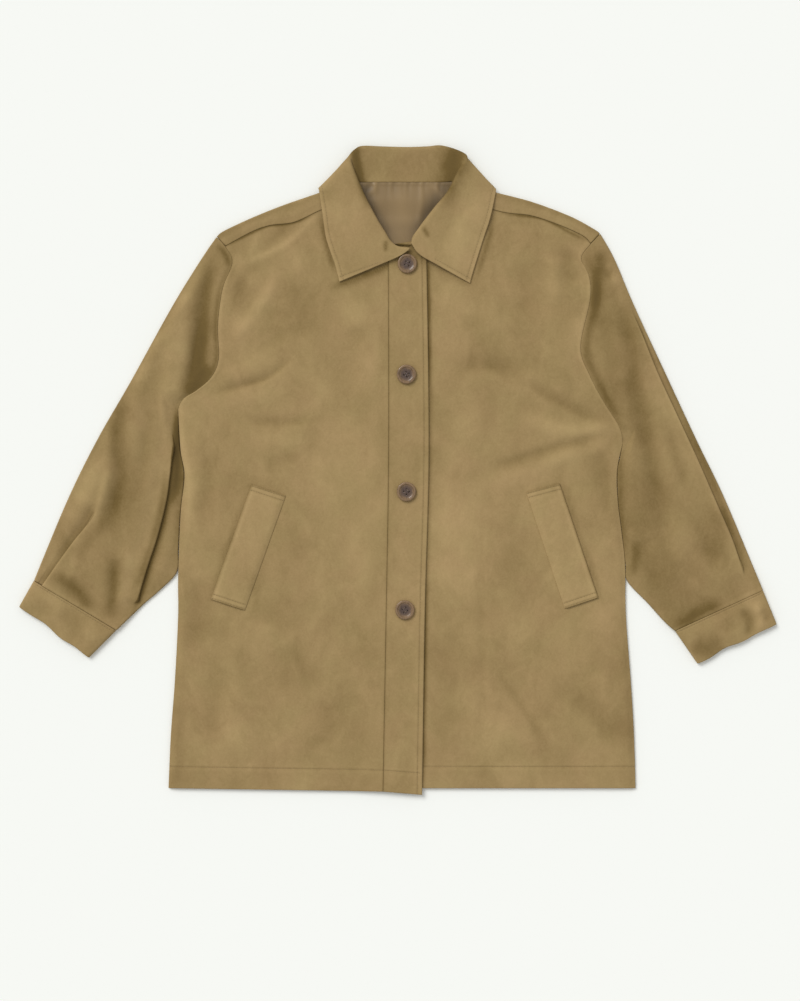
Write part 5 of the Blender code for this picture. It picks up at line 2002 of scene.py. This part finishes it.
@dataclass
class Cuff:
    """A cuff, from its seam with the sleeve to its open end."""

    cut: SideCut
    column_step: float = 2.6
    row_step: float = 2.2
    stitch: float = 2.6
    groove: float = 0.45
    crown: float = 1.3
    sway: float = 1.6

    def build(self, suede: bpy.types.Material, stitching: Stitching) -> bpy.types.Object:
        """Makes the cuff and sews it to its sleeve.

        Args:
            suede: The finish.
            stitching: What sews it.

        Returns:
            The piece.
        """
        cut = self.cut
        corners = [np.array(point, float) for point in (
            cut.sleeve_outer[-1], cut.sleeve_inner[-1], cut.cuff[1], cut.cuff[0])]
        length = float(np.linalg.norm(corners[3] - corners[0]))
        down = spacing(length, self.row_step, self.stitch)[:, None]
        inner = mix(SEAM_TOUCH / length, 1 - SEAM_TOUCH / length, down)
        near = mix(corners[0], corners[3], inner)[:, None]
        far = mix(corners[1], corners[2], inner)[:, None]
        width = np.linalg.norm(far - near, axis=2)
        run = (corners[3] - corners[0]) / length

        def plan(along: Values) -> Values:
            """The places at distances across the cuff."""
            sway = wave(along, 58.0, cut.outward + 2.0) * ramp(0.3, 1, down) * self.sway
            return mix(near, far, (along / width)[..., None]) + run * sway[..., None]

        inset = DOUBLED_CLOTH / 2 + (CUFF_TOP - CUFF_BOTTOM) / 2
        count = round(float(width.max()) / self.column_step)
        along = inset + (width - 2 * inset) * np.linspace(0, 1, count + 1)[None]
        place = plan(along)
        x, y = place[..., 0], place[..., 1]
        free = ramp(0, 12, np.minimum(along, width - along)) * ramp(-0.02, 0.25, down)
        folds = cut.cuff_folds
        crown = self.crown * ramp(0, 0.4, down) * ramp(1.25, 0.5, down)
        height = CUFF_TOP + (folds.height(x, y) + crown) * free
        marks = down[:, 0] * length
        height = height - self.groove * bell(marks - self.stitch, Seam.WIDTH)[:, None]
        tube = Tube.closed(
            (along, height), (along, CUFF_BOTTOM + 0 * along), width, marks, DOUBLED_CLOTH)
        mesher = Mesher(f"cuff_{cut.name}_cloth")
        tone = np.zeros((len(down), tube.along.shape[1] + 1))
        tone[:, :along.shape[1]] = folds.tone(x, y)
        for skin, level in tube.skins():
            mesher.grid(at_height(plan(skin), level), tone)
        seam = Seam(Edge.TOP, self.stitch, span=(0.02, 0.98))
        stitching.seams(Sheet(at_height(place, height)), (seam,), DOUBLED_CLOTH)
        piece = publish(mesher.finish(suede), Slot.SUEDE, f"cuff_{cut.name}")
        return piece


@dataclass(frozen=True)
class Station:
    """One section of the collar, from the neck seam over the roll to the outer edge.

    Attributes:
        neck: The place on the neck seam.
        roll: The place at the top of the roll.
        edge: The place on the outer edge.
        turn: 0 where the fall lies over the front, and 180 where it lies under the back.
        radius: The roll's.
        bow: How far the upper part of the fall is moved toward the hem.
        outward: The sign of X on the section's side.
    """

    neck: tuple[float, float, float]
    roll: tuple[float, float, float]
    edge: tuple[float, float, float]
    turn: float
    radius: float
    bow: float
    outward: int
    ANGLES: ClassVar[tuple[int, ...]] = (-90, -30, 30, 90)
    FALL: ClassVar[tuple[float, ...]] = (0.1, 0.22, 0.4, 0.6, 0.8, 1.0)

    def places(self) -> Values:
        """The places across the collar.

        Returns:
            One row of places.
        """
        neck, roll, edge = Vector(self.neck), Vector(self.roll), Vector(self.edge)
        run = Vector((roll.x - neck.x, roll.y - neck.y, 0)).normalized()
        side = Vector((run.y, -run.x, 0)) * self.outward
        turn = math.radians(self.turn)
        up = Vector((0, 0, 1)) * math.cos(turn) + side * math.sin(turn)
        centre = roll - run * self.radius
        section = [neck, neck.lerp(centre - up * self.radius, 0.5)]
        for angle in self.ANGLES:
            tilt = math.radians(angle)
            section.append(centre + (run * math.cos(tilt) + up * math.sin(tilt)) * self.radius)
        fall = section[-1]
        along = (edge - fall).normalized()
        hemward = Vector((along.y * self.outward, -along.x * self.outward, 0))
        if hemward.y > 0:
            hemward.negate()
        for share in self.FALL:
            bow = self.bow * float(ramp(0, 0.16, share)) * (1 - share) * 1.15
            section.append(fall.lerp(edge, share) + hemward * bow)
        return np.array([tuple(place) for place in section])


def stations(outward: int, *rows: tuple[float, ...]) -> list[Station]:
    """Sections of the collar from rows of their neck, roll and edge, turn, radius and bow."""
    return [Station(row[0:3], row[3:6], row[6:9], *row[9:], outward) for row in rows]


COLLAR_RIGHT = stations(
    -1,
    (14.0, 271.6, 9.2, 13.6, 274.6, 11.4, -73.5, 233.4, 6.8, 0, 1.2, 3.0),
    (-2.0, 273.6, 9.0, -1.6, 277.0, 11.4, -74.6, 237.6, 6.7, 0, 1.4, 2.5),
    (-12.5, 280.0, 7.6, -10.8, 284.6, 11.0, -76.0, 243.0, 6.6, 0, 1.8, 2.0),
    (-22.5, 288.6, 6.6, -16.5, 294.0, 11.4, -79.5, 256.0, 6.6, 0, 2.1, 1.0),
    (-35.5, 299.5, 6.2, -25.0, 307.5, 11.8, -85.5, 273.0, 6.6, 0, 2.4, 0),
    (-47.5, 317.5, 6.2, -34.0, 324.0, 12.0, -90.8, 291.0, 6.9, 0, 2.6, 0),
    (-57.0, 337.0, 7.4, -44.0, 344.0, 12.4, -94.6, 318.0, 8.8, 0, 2.8, 0),
    (-59.4, 351.0, 8.0, -58.0, 378.0, 12.0, -98.6, 345.0, 9.8, 20, 2.6, 0),
    (-60.5, 358.8, 6.8, -60.0, 389.6, 9.0, -98.6, 349.6, 5.6, 90, 2.0, 0),
    (-55.0, 358.2, 6.9, -53.5, 398.6, 5.8, -90.0, 346.0, 1.3, 158, 2.4, 0),
    (-44.0, 357.6, 6.5, -44.0, 402.6, 4.8, -71.0, 345.0, 1.0, 180, 2.6, 0))
COLLAR_BACK = stations(
    1,
    (-18.0, 357.6, 6.5, -17.0, 401.8, 4.8, -26.0, 344.0, 1.0, 180, 2.8, 0),
    (12.0, 357.6, 6.5, 12.0, 401.2, 4.8, 12.0, 344.0, 1.0, 180, 2.8, 0),
    (36.0, 357.6, 6.5, 36.0, 402.0, 4.8, 50.0, 344.0, 1.0, 180, 2.8, 0))
COLLAR_LEFT = stations(
    1,
    (52.0, 357.6, 6.5, 54.0, 403.0, 5.0, 82.0, 346.0, 1.0, 180, 2.6, 0),
    (62.4, 358.2, 7.0, 77.5, 395.6, 6.6, 112.5, 346.0, 1.2, 150, 2.6, 0),
    (66.6, 358.0, 7.0, 85.0, 387.0, 10.8, 121.0, 349.0, 6.4, 90, 2.0, 0),
    (69.4, 350.0, 8.0, 75.0, 370.0, 14.4, 120.2, 339.0, 9.8, 20, 3.0, 0),
    (71.4, 336.4, 7.4, 61.5, 344.5, 14.0, 114.5, 313.0, 8.8, 0, 3.0, 0),
    (61.5, 318.6, 6.2, 47.0, 327.0, 13.2, 107.0, 290.0, 6.9, 0, 2.8, 0),
    (47.6, 301.0, 6.0, 34.0, 310.5, 12.4, 100.0, 268.0, 6.6, 0, 2.5, 1.0),
    (34.0, 290.6, 6.2, 24.5, 297.5, 11.6, 93.5, 247.0, 6.6, 0, 2.1, 4.0),
    (22.0, 284.6, 6.8, 18.6, 289.0, 11.2, 91.0, 238.0, 6.7, 0, 1.8, 5.5),
    (18.6, 276.6, 9.2, 16.6, 280.4, 11.4, 89.3, 231.5, 6.8, 0, 1.3, 6.0))


@dataclass
class Collar:
    """The collar, from one front end round the back of the neck to the other."""

    length: float = 520.0
    height: float = 110.0
    stitch: float = 5.5
    lip: float = 1.6
    lip_reach: float = 1.8
    lip_highlight: float = 0.07
    # Besides folds, these paint shade into the creases at the collar's front ends and across the
    # back of the stand, and paint the leaves lighter.
    folds: Relief = Relief.of(
        8.0, 0.18,
        (14, 0.9, 0.02, 0, -76, 330, -66, 296, -52, 262),
        (16, 0.9, 0.02, 0, 96, 330, 82, 296, 70, 256),
        (3, -0.7, -0.3, 0, 30, 302, 34, 295, 38, 287),
        (2.8, -0.5, -0.3, 0, -15, 286, -16, 277, -16, 269),
        (12, -0.5, -0.05, 0, -96, 348, -88, 330),
        (12, -0.5, -0.05, 0, 92, 372, 84, 384),
        (26, 0, -0.09, 0, -90, 378, 0, 380, 110, 378),
        (40, 0, 0.04, 0, -70, 350, -70, 290, -40, 240),
        (45, 0, 0.12, 0, 104, 360, 84, 300, 70, 230))
    # Painted shade on the stand at each end, beside the leaves' rolls.
    stand_shades: Relief = Relief.of(
        0, 0.25,
        (5.5, 0, -0.4, 0, -34, 318, -43, 346, -49, 370, -54, 394, -56, 424),
        (15, 0, -0.34, 0, 56, 320, 62, 356, 71, 388, 80, 430),
        (10, 0, -0.12, 0, -44, 388, -48, 402, -50, 416))

    def sheet(self) -> Sheet:
        """The middle of the collar's cloth.

        Returns:
            The sheet.
        """
        control = np.array(
            [station.places() for station in COLLAR_RIGHT + COLLAR_BACK + COLLAR_LEFT])
        for axis, length, lines in (
                (0, self.length, (self.stitch, self.length - self.stitch)),
                (1, self.height, (self.height - self.stitch,))):
            steps = np.linalg.norm(np.diff(control, axis=axis), axis=2).mean(axis=1 - axis)
            marks = np.concatenate([[0.0], np.cumsum(steps)]) / steps.sum()
            places = spacing(length, 2.6, *lines)
            shares = np.interp(places, marks, np.linspace(0, 1, len(marks)))
            rows = spline(control if axis == 0 else control.transpose(1, 0, 2), shares)
            control = rows if axis == 0 else rows.transpose(1, 0, 2)
        return Sheet(control.transpose(1, 0, 2), sewn=(Edge.TOP,))

    def seams(self) -> tuple[Seam, ...]:
        """The topstitching along the collar's free edges.

        Returns:
            The seams.
        """
        leaf = {"depth": 0.3, "pucker": 0.06, "dark": -0.025}
        return (
            Seam(Edge.BOTTOM, self.stitch, span=(0.02, 0.36), **leaf),
            Seam(Edge.BOTTOM, self.stitch, span=(0.66, 0.98), **leaf),
            Seam(Edge.START, self.stitch, span=(0.5, 0.94), **leaf),
            Seam(Edge.END, self.stitch, span=(0.5, 0.94), **leaf))

    def build(self, suede: bpy.types.Material, stitching: Stitching) -> bpy.types.Object:
        """Makes the collar and its topstitching.

        Args:
            suede: The finish.
            stitching: What sews it.

        Returns:
            The piece.
        """
        sheet = self.sheet()
        x, y = sheet.places[..., 0], sheet.places[..., 1]
        fall = ramp(48, 58, sheet.away(Edge.TOP)) * (y < 345)
        sheet.places[..., 2] += self.folds.height(x, y) * fall
        edges = (Edge.BOTTOM, Edge.START, Edge.END)
        lip = sum(bell(sheet.away(edge) - self.lip, self.lip_reach) for edge in edges)
        # Painted shade on the stand's ends, and painted highlight on the lips along the leaves'
        # edges.
        stand = self.stand_shades.tone(x, y) * ramp(50, 40, sheet.away(Edge.TOP))
        sheet.tone = self.folds.tone(x, y) + stand + self.lip_highlight * lip * fall
        sheet.sew(self.seams(), fall)
        stitching.seams(sheet, self.seams(), COLLAR_CLOTH)
        piece = cloth("collar", COLLAR_CLOTH, suede, sheet)
        return piece


@dataclass
class Placket:
    """The buttonhole placket along the centre edge of the right front."""

    form: BodyForm
    length: float = 680.0
    width: float = 50.0
    stitch: float = 6.0
    shade: float = 0.26

    def height(self, x: Values, y: Values) -> Values:
        """The height of the middle of the placket's cloth."""
        rest = CLOTH + AIR + PLACKET_LIFT + DOUBLED_CLOTH / 2
        return rest + self.form.loft(x, y) + 0.12 * (1 + wave(y, 120.0, 0.7))

    def seams(self) -> tuple[Seam, ...]:
        """The placket's stitched lines.

        Returns:
            The seams.
        """
        return (
            Seam(Edge.END, self.stitch, depth=0.42, pucker=0.08, span=(0.01, 0.995)),
            Seam(Edge.BOTTOM, HEM_TURN, depth=0.45, pucker=0.1, span=(0.02, 0.9), dark=-0.05))

    def build(self, suede: bpy.types.Material, stitching: Stitching) -> bpy.types.Object:
        """Makes the placket and sews its lines.

        Args:
            suede: The finish.
            stitching: What sews it.

        Returns:
            The piece.
        """
        start, end = Line.through(PLACKET_SEAM), Line.through(PLACKET_EDGE)
        bottom = Line.through((PLACKET_SEAM[-1], PLACKET_EDGE[-1]))
        plan = Patch(Line.through(PLACKET_TOP), bottom, start, end).places(
            spacing(self.width, 2.2, self.width - self.stitch),
            spacing(self.length, 3.0, self.length - HEM_TURN), SEAM_TOUCH)
        x, y = plan[..., 0], plan[..., 1]
        # Painted shade at the placket's top, under the collar's ends and round the first button,
        # with a slight tone drift.
        sheet = Sheet(
            at_height(plan, self.height(x, y)), sewn=(Edge.START,),
            tone=0.012 * wave(y, 90.0, 1.0) - self.shade * ramp(244, 268, y))
        sheet.sew(self.seams())
        stitching.seams(sheet, self.seams(), DOUBLED_CLOTH)
        piece = cloth("placket", DOUBLED_CLOTH, suede, sheet)
        return piece


@dataclass
class Welt:
    """A pocket's welt, which lies on a front."""

    cut: SideCut
    form: BodyForm
    length: float = 150.0
    width: float = 44.0
    stitches: tuple[float, float] = (1.8, 7.0)
    sunk: float = 1.5
    sunk_reach: float = 3.4
    lighter: float = 0.06
    mouth_shadow: float = -0.2
    mouth_reach: float = 1.5
    lip: float = 4.0
    lip_reach: float = 2.0
    lip_highlight: float = 0.07

    def seams(self) -> tuple[Seam, ...]:
        """Two rows of stitches across each end.

        Returns:
            The seams.
        """
        return tuple(
            Seam(edge, inside, depth=0.4, pucker=0.05, span=(0.05, 0.95), dark=-0.1)
            for edge in (Edge.TOP, Edge.BOTTOM) for inside in self.stitches)

    def build(self, suede: bpy.types.Material, stitching: Stitching) -> bpy.types.Object:
        """Makes the welt and sews it down.

        Args:
            suede: The finish.
            stitching: What sews it.

        Returns:
            The piece.
        """
        corners = self.cut.welt
        lines = [Line.through((corners[first], corners[last]))
                 for first, last in ((0, 1), (3, 2), (0, 3), (1, 2))]
        ends = [place for inside in self.stitches for place in (inside, self.length - inside)]
        plan = Patch(*lines).places(spacing(self.width, 2.2), spacing(self.length, 2.6, *ends))
        x, y = plan[..., 0], plan[..., 1]
        height = self.form.front(self.cut, x, y) + CLOTH / 2 + SEAM_GAP + DOUBLED_CLOTH / 2
        sheet = Sheet(
            at_height(plan, height), sewn=(Edge.TOP, Edge.BOTTOM),
            tone=self.lighter + self.cut.folds.tone(x, y) * 0.4)
        crown = 0.5 * np.sin(math.pi * np.clip(sheet.away(Edge.START) / self.width, 0, 1))
        sheet.places[..., 2] += crown - self.sunk * bell(sheet.away(Edge.END), self.sunk_reach)
        mouth = sheet.away(Edge.START)
        # Painted shadow along the pocket's mouth, and a painted highlight on the lip inside it.
        sheet.tone = sheet.tone + self.mouth_shadow * bell(mouth, self.mouth_reach)
        sheet.tone = sheet.tone + self.lip_highlight * bell(mouth - self.lip, self.lip_reach)
        sheet.sew(self.seams())
        stitching.seams(sheet, self.seams(), DOUBLED_CLOTH)
        piece = cloth(f"welt_{self.cut.name}", DOUBLED_CLOTH, suede, sheet)
        return piece


@dataclass
class Button:
    """A turned button, sewn on through four holes over its buttonhole."""

    index: int
    centre: tuple[float, float]
    turn: float
    placket: Placket
    diameter: float = 24.0
    thickness: float = 3.6
    hole: float = 1.9
    pitch: float = 4.4
    dish: float = 1.15
    slit: tuple[float, float] = (-11.2, 11.4)
    bead: float = 0.62
    bead_side: float = 1.15
    bead_rise: float = 0.12
    bead_size: tuple[float, float, float] = (1.8, 0.6, 0.5)
    strands: tuple[float, ...] = (-0.45, 0.0, 0.45)
    round_over: float = 1.3
    SEGMENTS: ClassVar[int] = 72
    HOLE_SEGMENTS: ClassVar[int] = 20

    @property
    def base(self) -> float:
        """The height of the button's underside."""
        x, y = self.centre
        return float(self.placket.height(x, y)) + DOUBLED_CLOTH / 2 + 0.35

    def section(self) -> list[tuple[float, float]]:
        """Half of the turned section: distances out from the middle and heights.

        Returns:
            The section's corners.
        """
        radius, top = self.diameter / 2, self.base + self.thickness
        nose = self.round_over
        rim = [(radius - nose + nose * math.cos(angle), top - nose + nose * math.sin(angle))
               for angle in np.linspace(-0.5, math.pi / 2, 8)]
        wall = [(radius - 2.6 - 0.9 * step / 5, top - self.dish * float(ramp(0, 5, step)))
                for step in range(6)]
        return [(0, self.base), (radius - 2.6, self.base), (radius - 0.9, self.base + 0.7), *rim,
                (radius - 2.0, top - 0.06), *wall, (4.6, top - self.dish - 0.12),
                (0, top - self.dish - 0.1)]

    def build(self) -> bpy.types.Object:
        """Makes the button.

        Returns:
            The piece.
        """
        x, y = self.centre
        mesher = Mesher(f"button_{self.index}_horn")
        points = [mesher.mesh.verts.new(Vector((x + out, y, level)) * MM)
                  for out, level in self.section()]
        lines = [mesher.mesh.edges.new(pair) for pair in zip(points, points[1:])]
        bmesh.ops.spin(
            mesher.mesh, geom=points + lines, cent=Vector((x, y, 0)) * MM, axis=(0, 0, 1),
            angle=2 * math.pi, steps=self.SEGMENTS, use_merge=True)
        horn = Horn(f"horn_{self.index}", (x, y, self.base), self.turn).build()
        piece = mesher.finish(horn)
        drilled = piece.modifiers.new("holes", "BOOLEAN")
        drilled.operation = "DIFFERENCE"
        drilled.solver = "EXACT"
        drilled.object = self.drill(horn)
        with bpy.context.temp_override(object=piece, active_object=piece):
            bpy.ops.object.modifier_apply(modifier=drilled.name)
        bpy.data.objects.remove(bpy.data.objects[f"button_{self.index}_drill"])
        return publish(piece, Slot.HORN, f"button_{self.index}")

    def holes(self) -> list[Vector]:
        """The middles of the four holes, at the height of the dish.

        Returns:
            The four places.
        """
        middle = Vector((*self.centre, self.base + self.thickness - self.dish))
        spread = self.pitch / math.sqrt(2)
        return [middle + Vector((math.cos(angle), math.sin(angle), 0)) * spread
                for angle in (self.turn + math.pi / 2 * step for step in range(4))]

    def drill(self, material: bpy.types.Material) -> bpy.types.Object:
        """The four pins that cut the holes.

        Args:
            material: The finish of the holes' walls.

        Returns:
            The pins.
        """
        mesher = Mesher(f"button_{self.index}_drill")
        for hole in self.holes():
            bmesh.ops.create_cone(
                mesher.mesh, cap_ends=True, segments=self.HOLE_SEGMENTS,
                radius1=self.hole / 2 * MM, radius2=self.hole / 2 * MM,
                depth=self.thickness * 3 * MM, matrix=Matrix.Translation(hole * MM))
        return mesher.finish(material, closed=False)

    def thread(self, stitching: Stitching) -> None:
        """Sews the button on, with two bars of thread, and the buttonhole's bead below it.

        Args:
            stitching: The thread's piece.
        """
        holes = self.holes()
        up = np.array((0.0, 0.0, 1.0))
        for first, last in ((0, 1), (3, 2)):
            middle = (holes[first] + holes[last]) / 2
            run = np.array(holes[last] - holes[first])
            side = np.cross(up, run) / np.linalg.norm(run)
            for shift in self.strands:
                place = np.array(middle) + side * shift + up * (0.3 - abs(shift) * 0.4)
                stitching.mesher.blob(place, run, up, (np.linalg.norm(run) + 1.4, 0.6, 0.7))
        x, y = self.centre
        first, last = self.slit
        for step in range(round((last - first) / self.bead)):
            along = x + first + step * self.bead
            level = float(self.placket.height(along, y)) + DOUBLED_CLOTH / 2
            for side in (-1, 1):
                place = np.array((along, y + side * self.bead_side, level + self.bead_rise))
                stitching.mesher.blob(place, np.array((0.0, 1.0, 0.0)), up, self.bead_size)


@dataclass
class Studio:
    """The floor, the lights and the camera."""

    centre: tuple[float, float] = (0.002, -0.039)
    camera_height: float = 2.5
    view_height: float = 1.251
    sensor: float = 36.0
    world: float = 0.58
    sun: float = 1.85
    sun_from: tuple[float, float, float] = (-0.62, 0.74, 1.0)
    sun_width: float = 32.0

    def light(self) -> None:
        """Adds the soft key light, from the upper left."""
        data = bpy.data.lights.new("key", "SUN")
        data.energy = self.sun
        data.angle = math.radians(self.sun_width)
        lamp = bpy.data.objects.new("key", data)
        lamp.location = self.sun_from
        lamp.rotation_mode = "QUATERNION"
        lamp.rotation_quaternion = Vector(self.sun_from).to_track_quat("Z", "Y")
        bpy.context.scene.collection.objects.link(lamp)

    def build(self) -> None:
        """Makes the studio."""
        scene = bpy.context.scene
        scene.view_settings.view_transform = "Standard"
        world = bpy.data.worlds.new("soft_room")
        world.use_nodes = True
        backdrop = world.node_tree.nodes["Background"]
        backdrop.inputs["Color"].default_value = (1.0, 1.0, 1.0, 1.0)
        backdrop.inputs["Strength"].default_value = self.world
        scene.world = world
        self.light()
        data = bpy.data.cameras.new("camera")
        data.sensor_width = self.sensor
        data.lens = self.sensor * self.camera_height / self.view_height
        camera = bpy.data.objects.new("camera", data)
        camera.location = (*self.centre, self.camera_height)
        scene.collection.objects.link(camera)
        scene.camera = camera
        mesh = bmesh.new()
        bmesh.ops.create_grid(mesh, x_segments=1, y_segments=1, size=4.0)
        data = bpy.data.meshes.new("floor")
        mesh.to_mesh(data)
        mesh.free()
        data.materials.append(Ground().build())
        floor = bpy.data.objects.new("floor", data)
        scene.collection.objects.link(floor)
        floor.location.z = -0.0003


def main() -> None:
    """Builds the jacket piece by piece."""
    logging.basicConfig(level=logging.INFO, format="%(name)s %(message)s")
    Studio().build()
    body = Suede("suede_body").build()
    sleeve_suede = Suede("suede_sleeves", -0.06).build()
    thread = Thread().build()
    form = BodyForm()
    body_seams = Stitching("stitches_body", thread)
    Back(form).build(body)
    Lining(form).build(Satin().build())
    for cut in (RIGHT, LEFT):
        Front(cut, form).build(body, body_seams)
        Sleeve(cut, form).build(sleeve_suede)
        Cuff(cut).build(body, body_seams)
        Welt(cut, form).build(body, body_seams)
    collar_seams = Stitching("stitches_collar", thread)
    Collar().build(body, collar_seams)
    placket = Placket(form)
    placket.build(body, body_seams)
    sewing = Stitching("thread_buttons", Thread("button_thread", (0.15, 0.105, 0.075)).build())
    for index, centre in enumerate(BUTTON_CENTRES):
        button = Button(index + 1, centre, 0.5 + 1.3 * index, placket)
        button.build()
        button.thread(sewing)
    for stitching in (body_seams, collar_seams, sewing):
        stitching.finish()


if __name__ == "__main__":
    main()
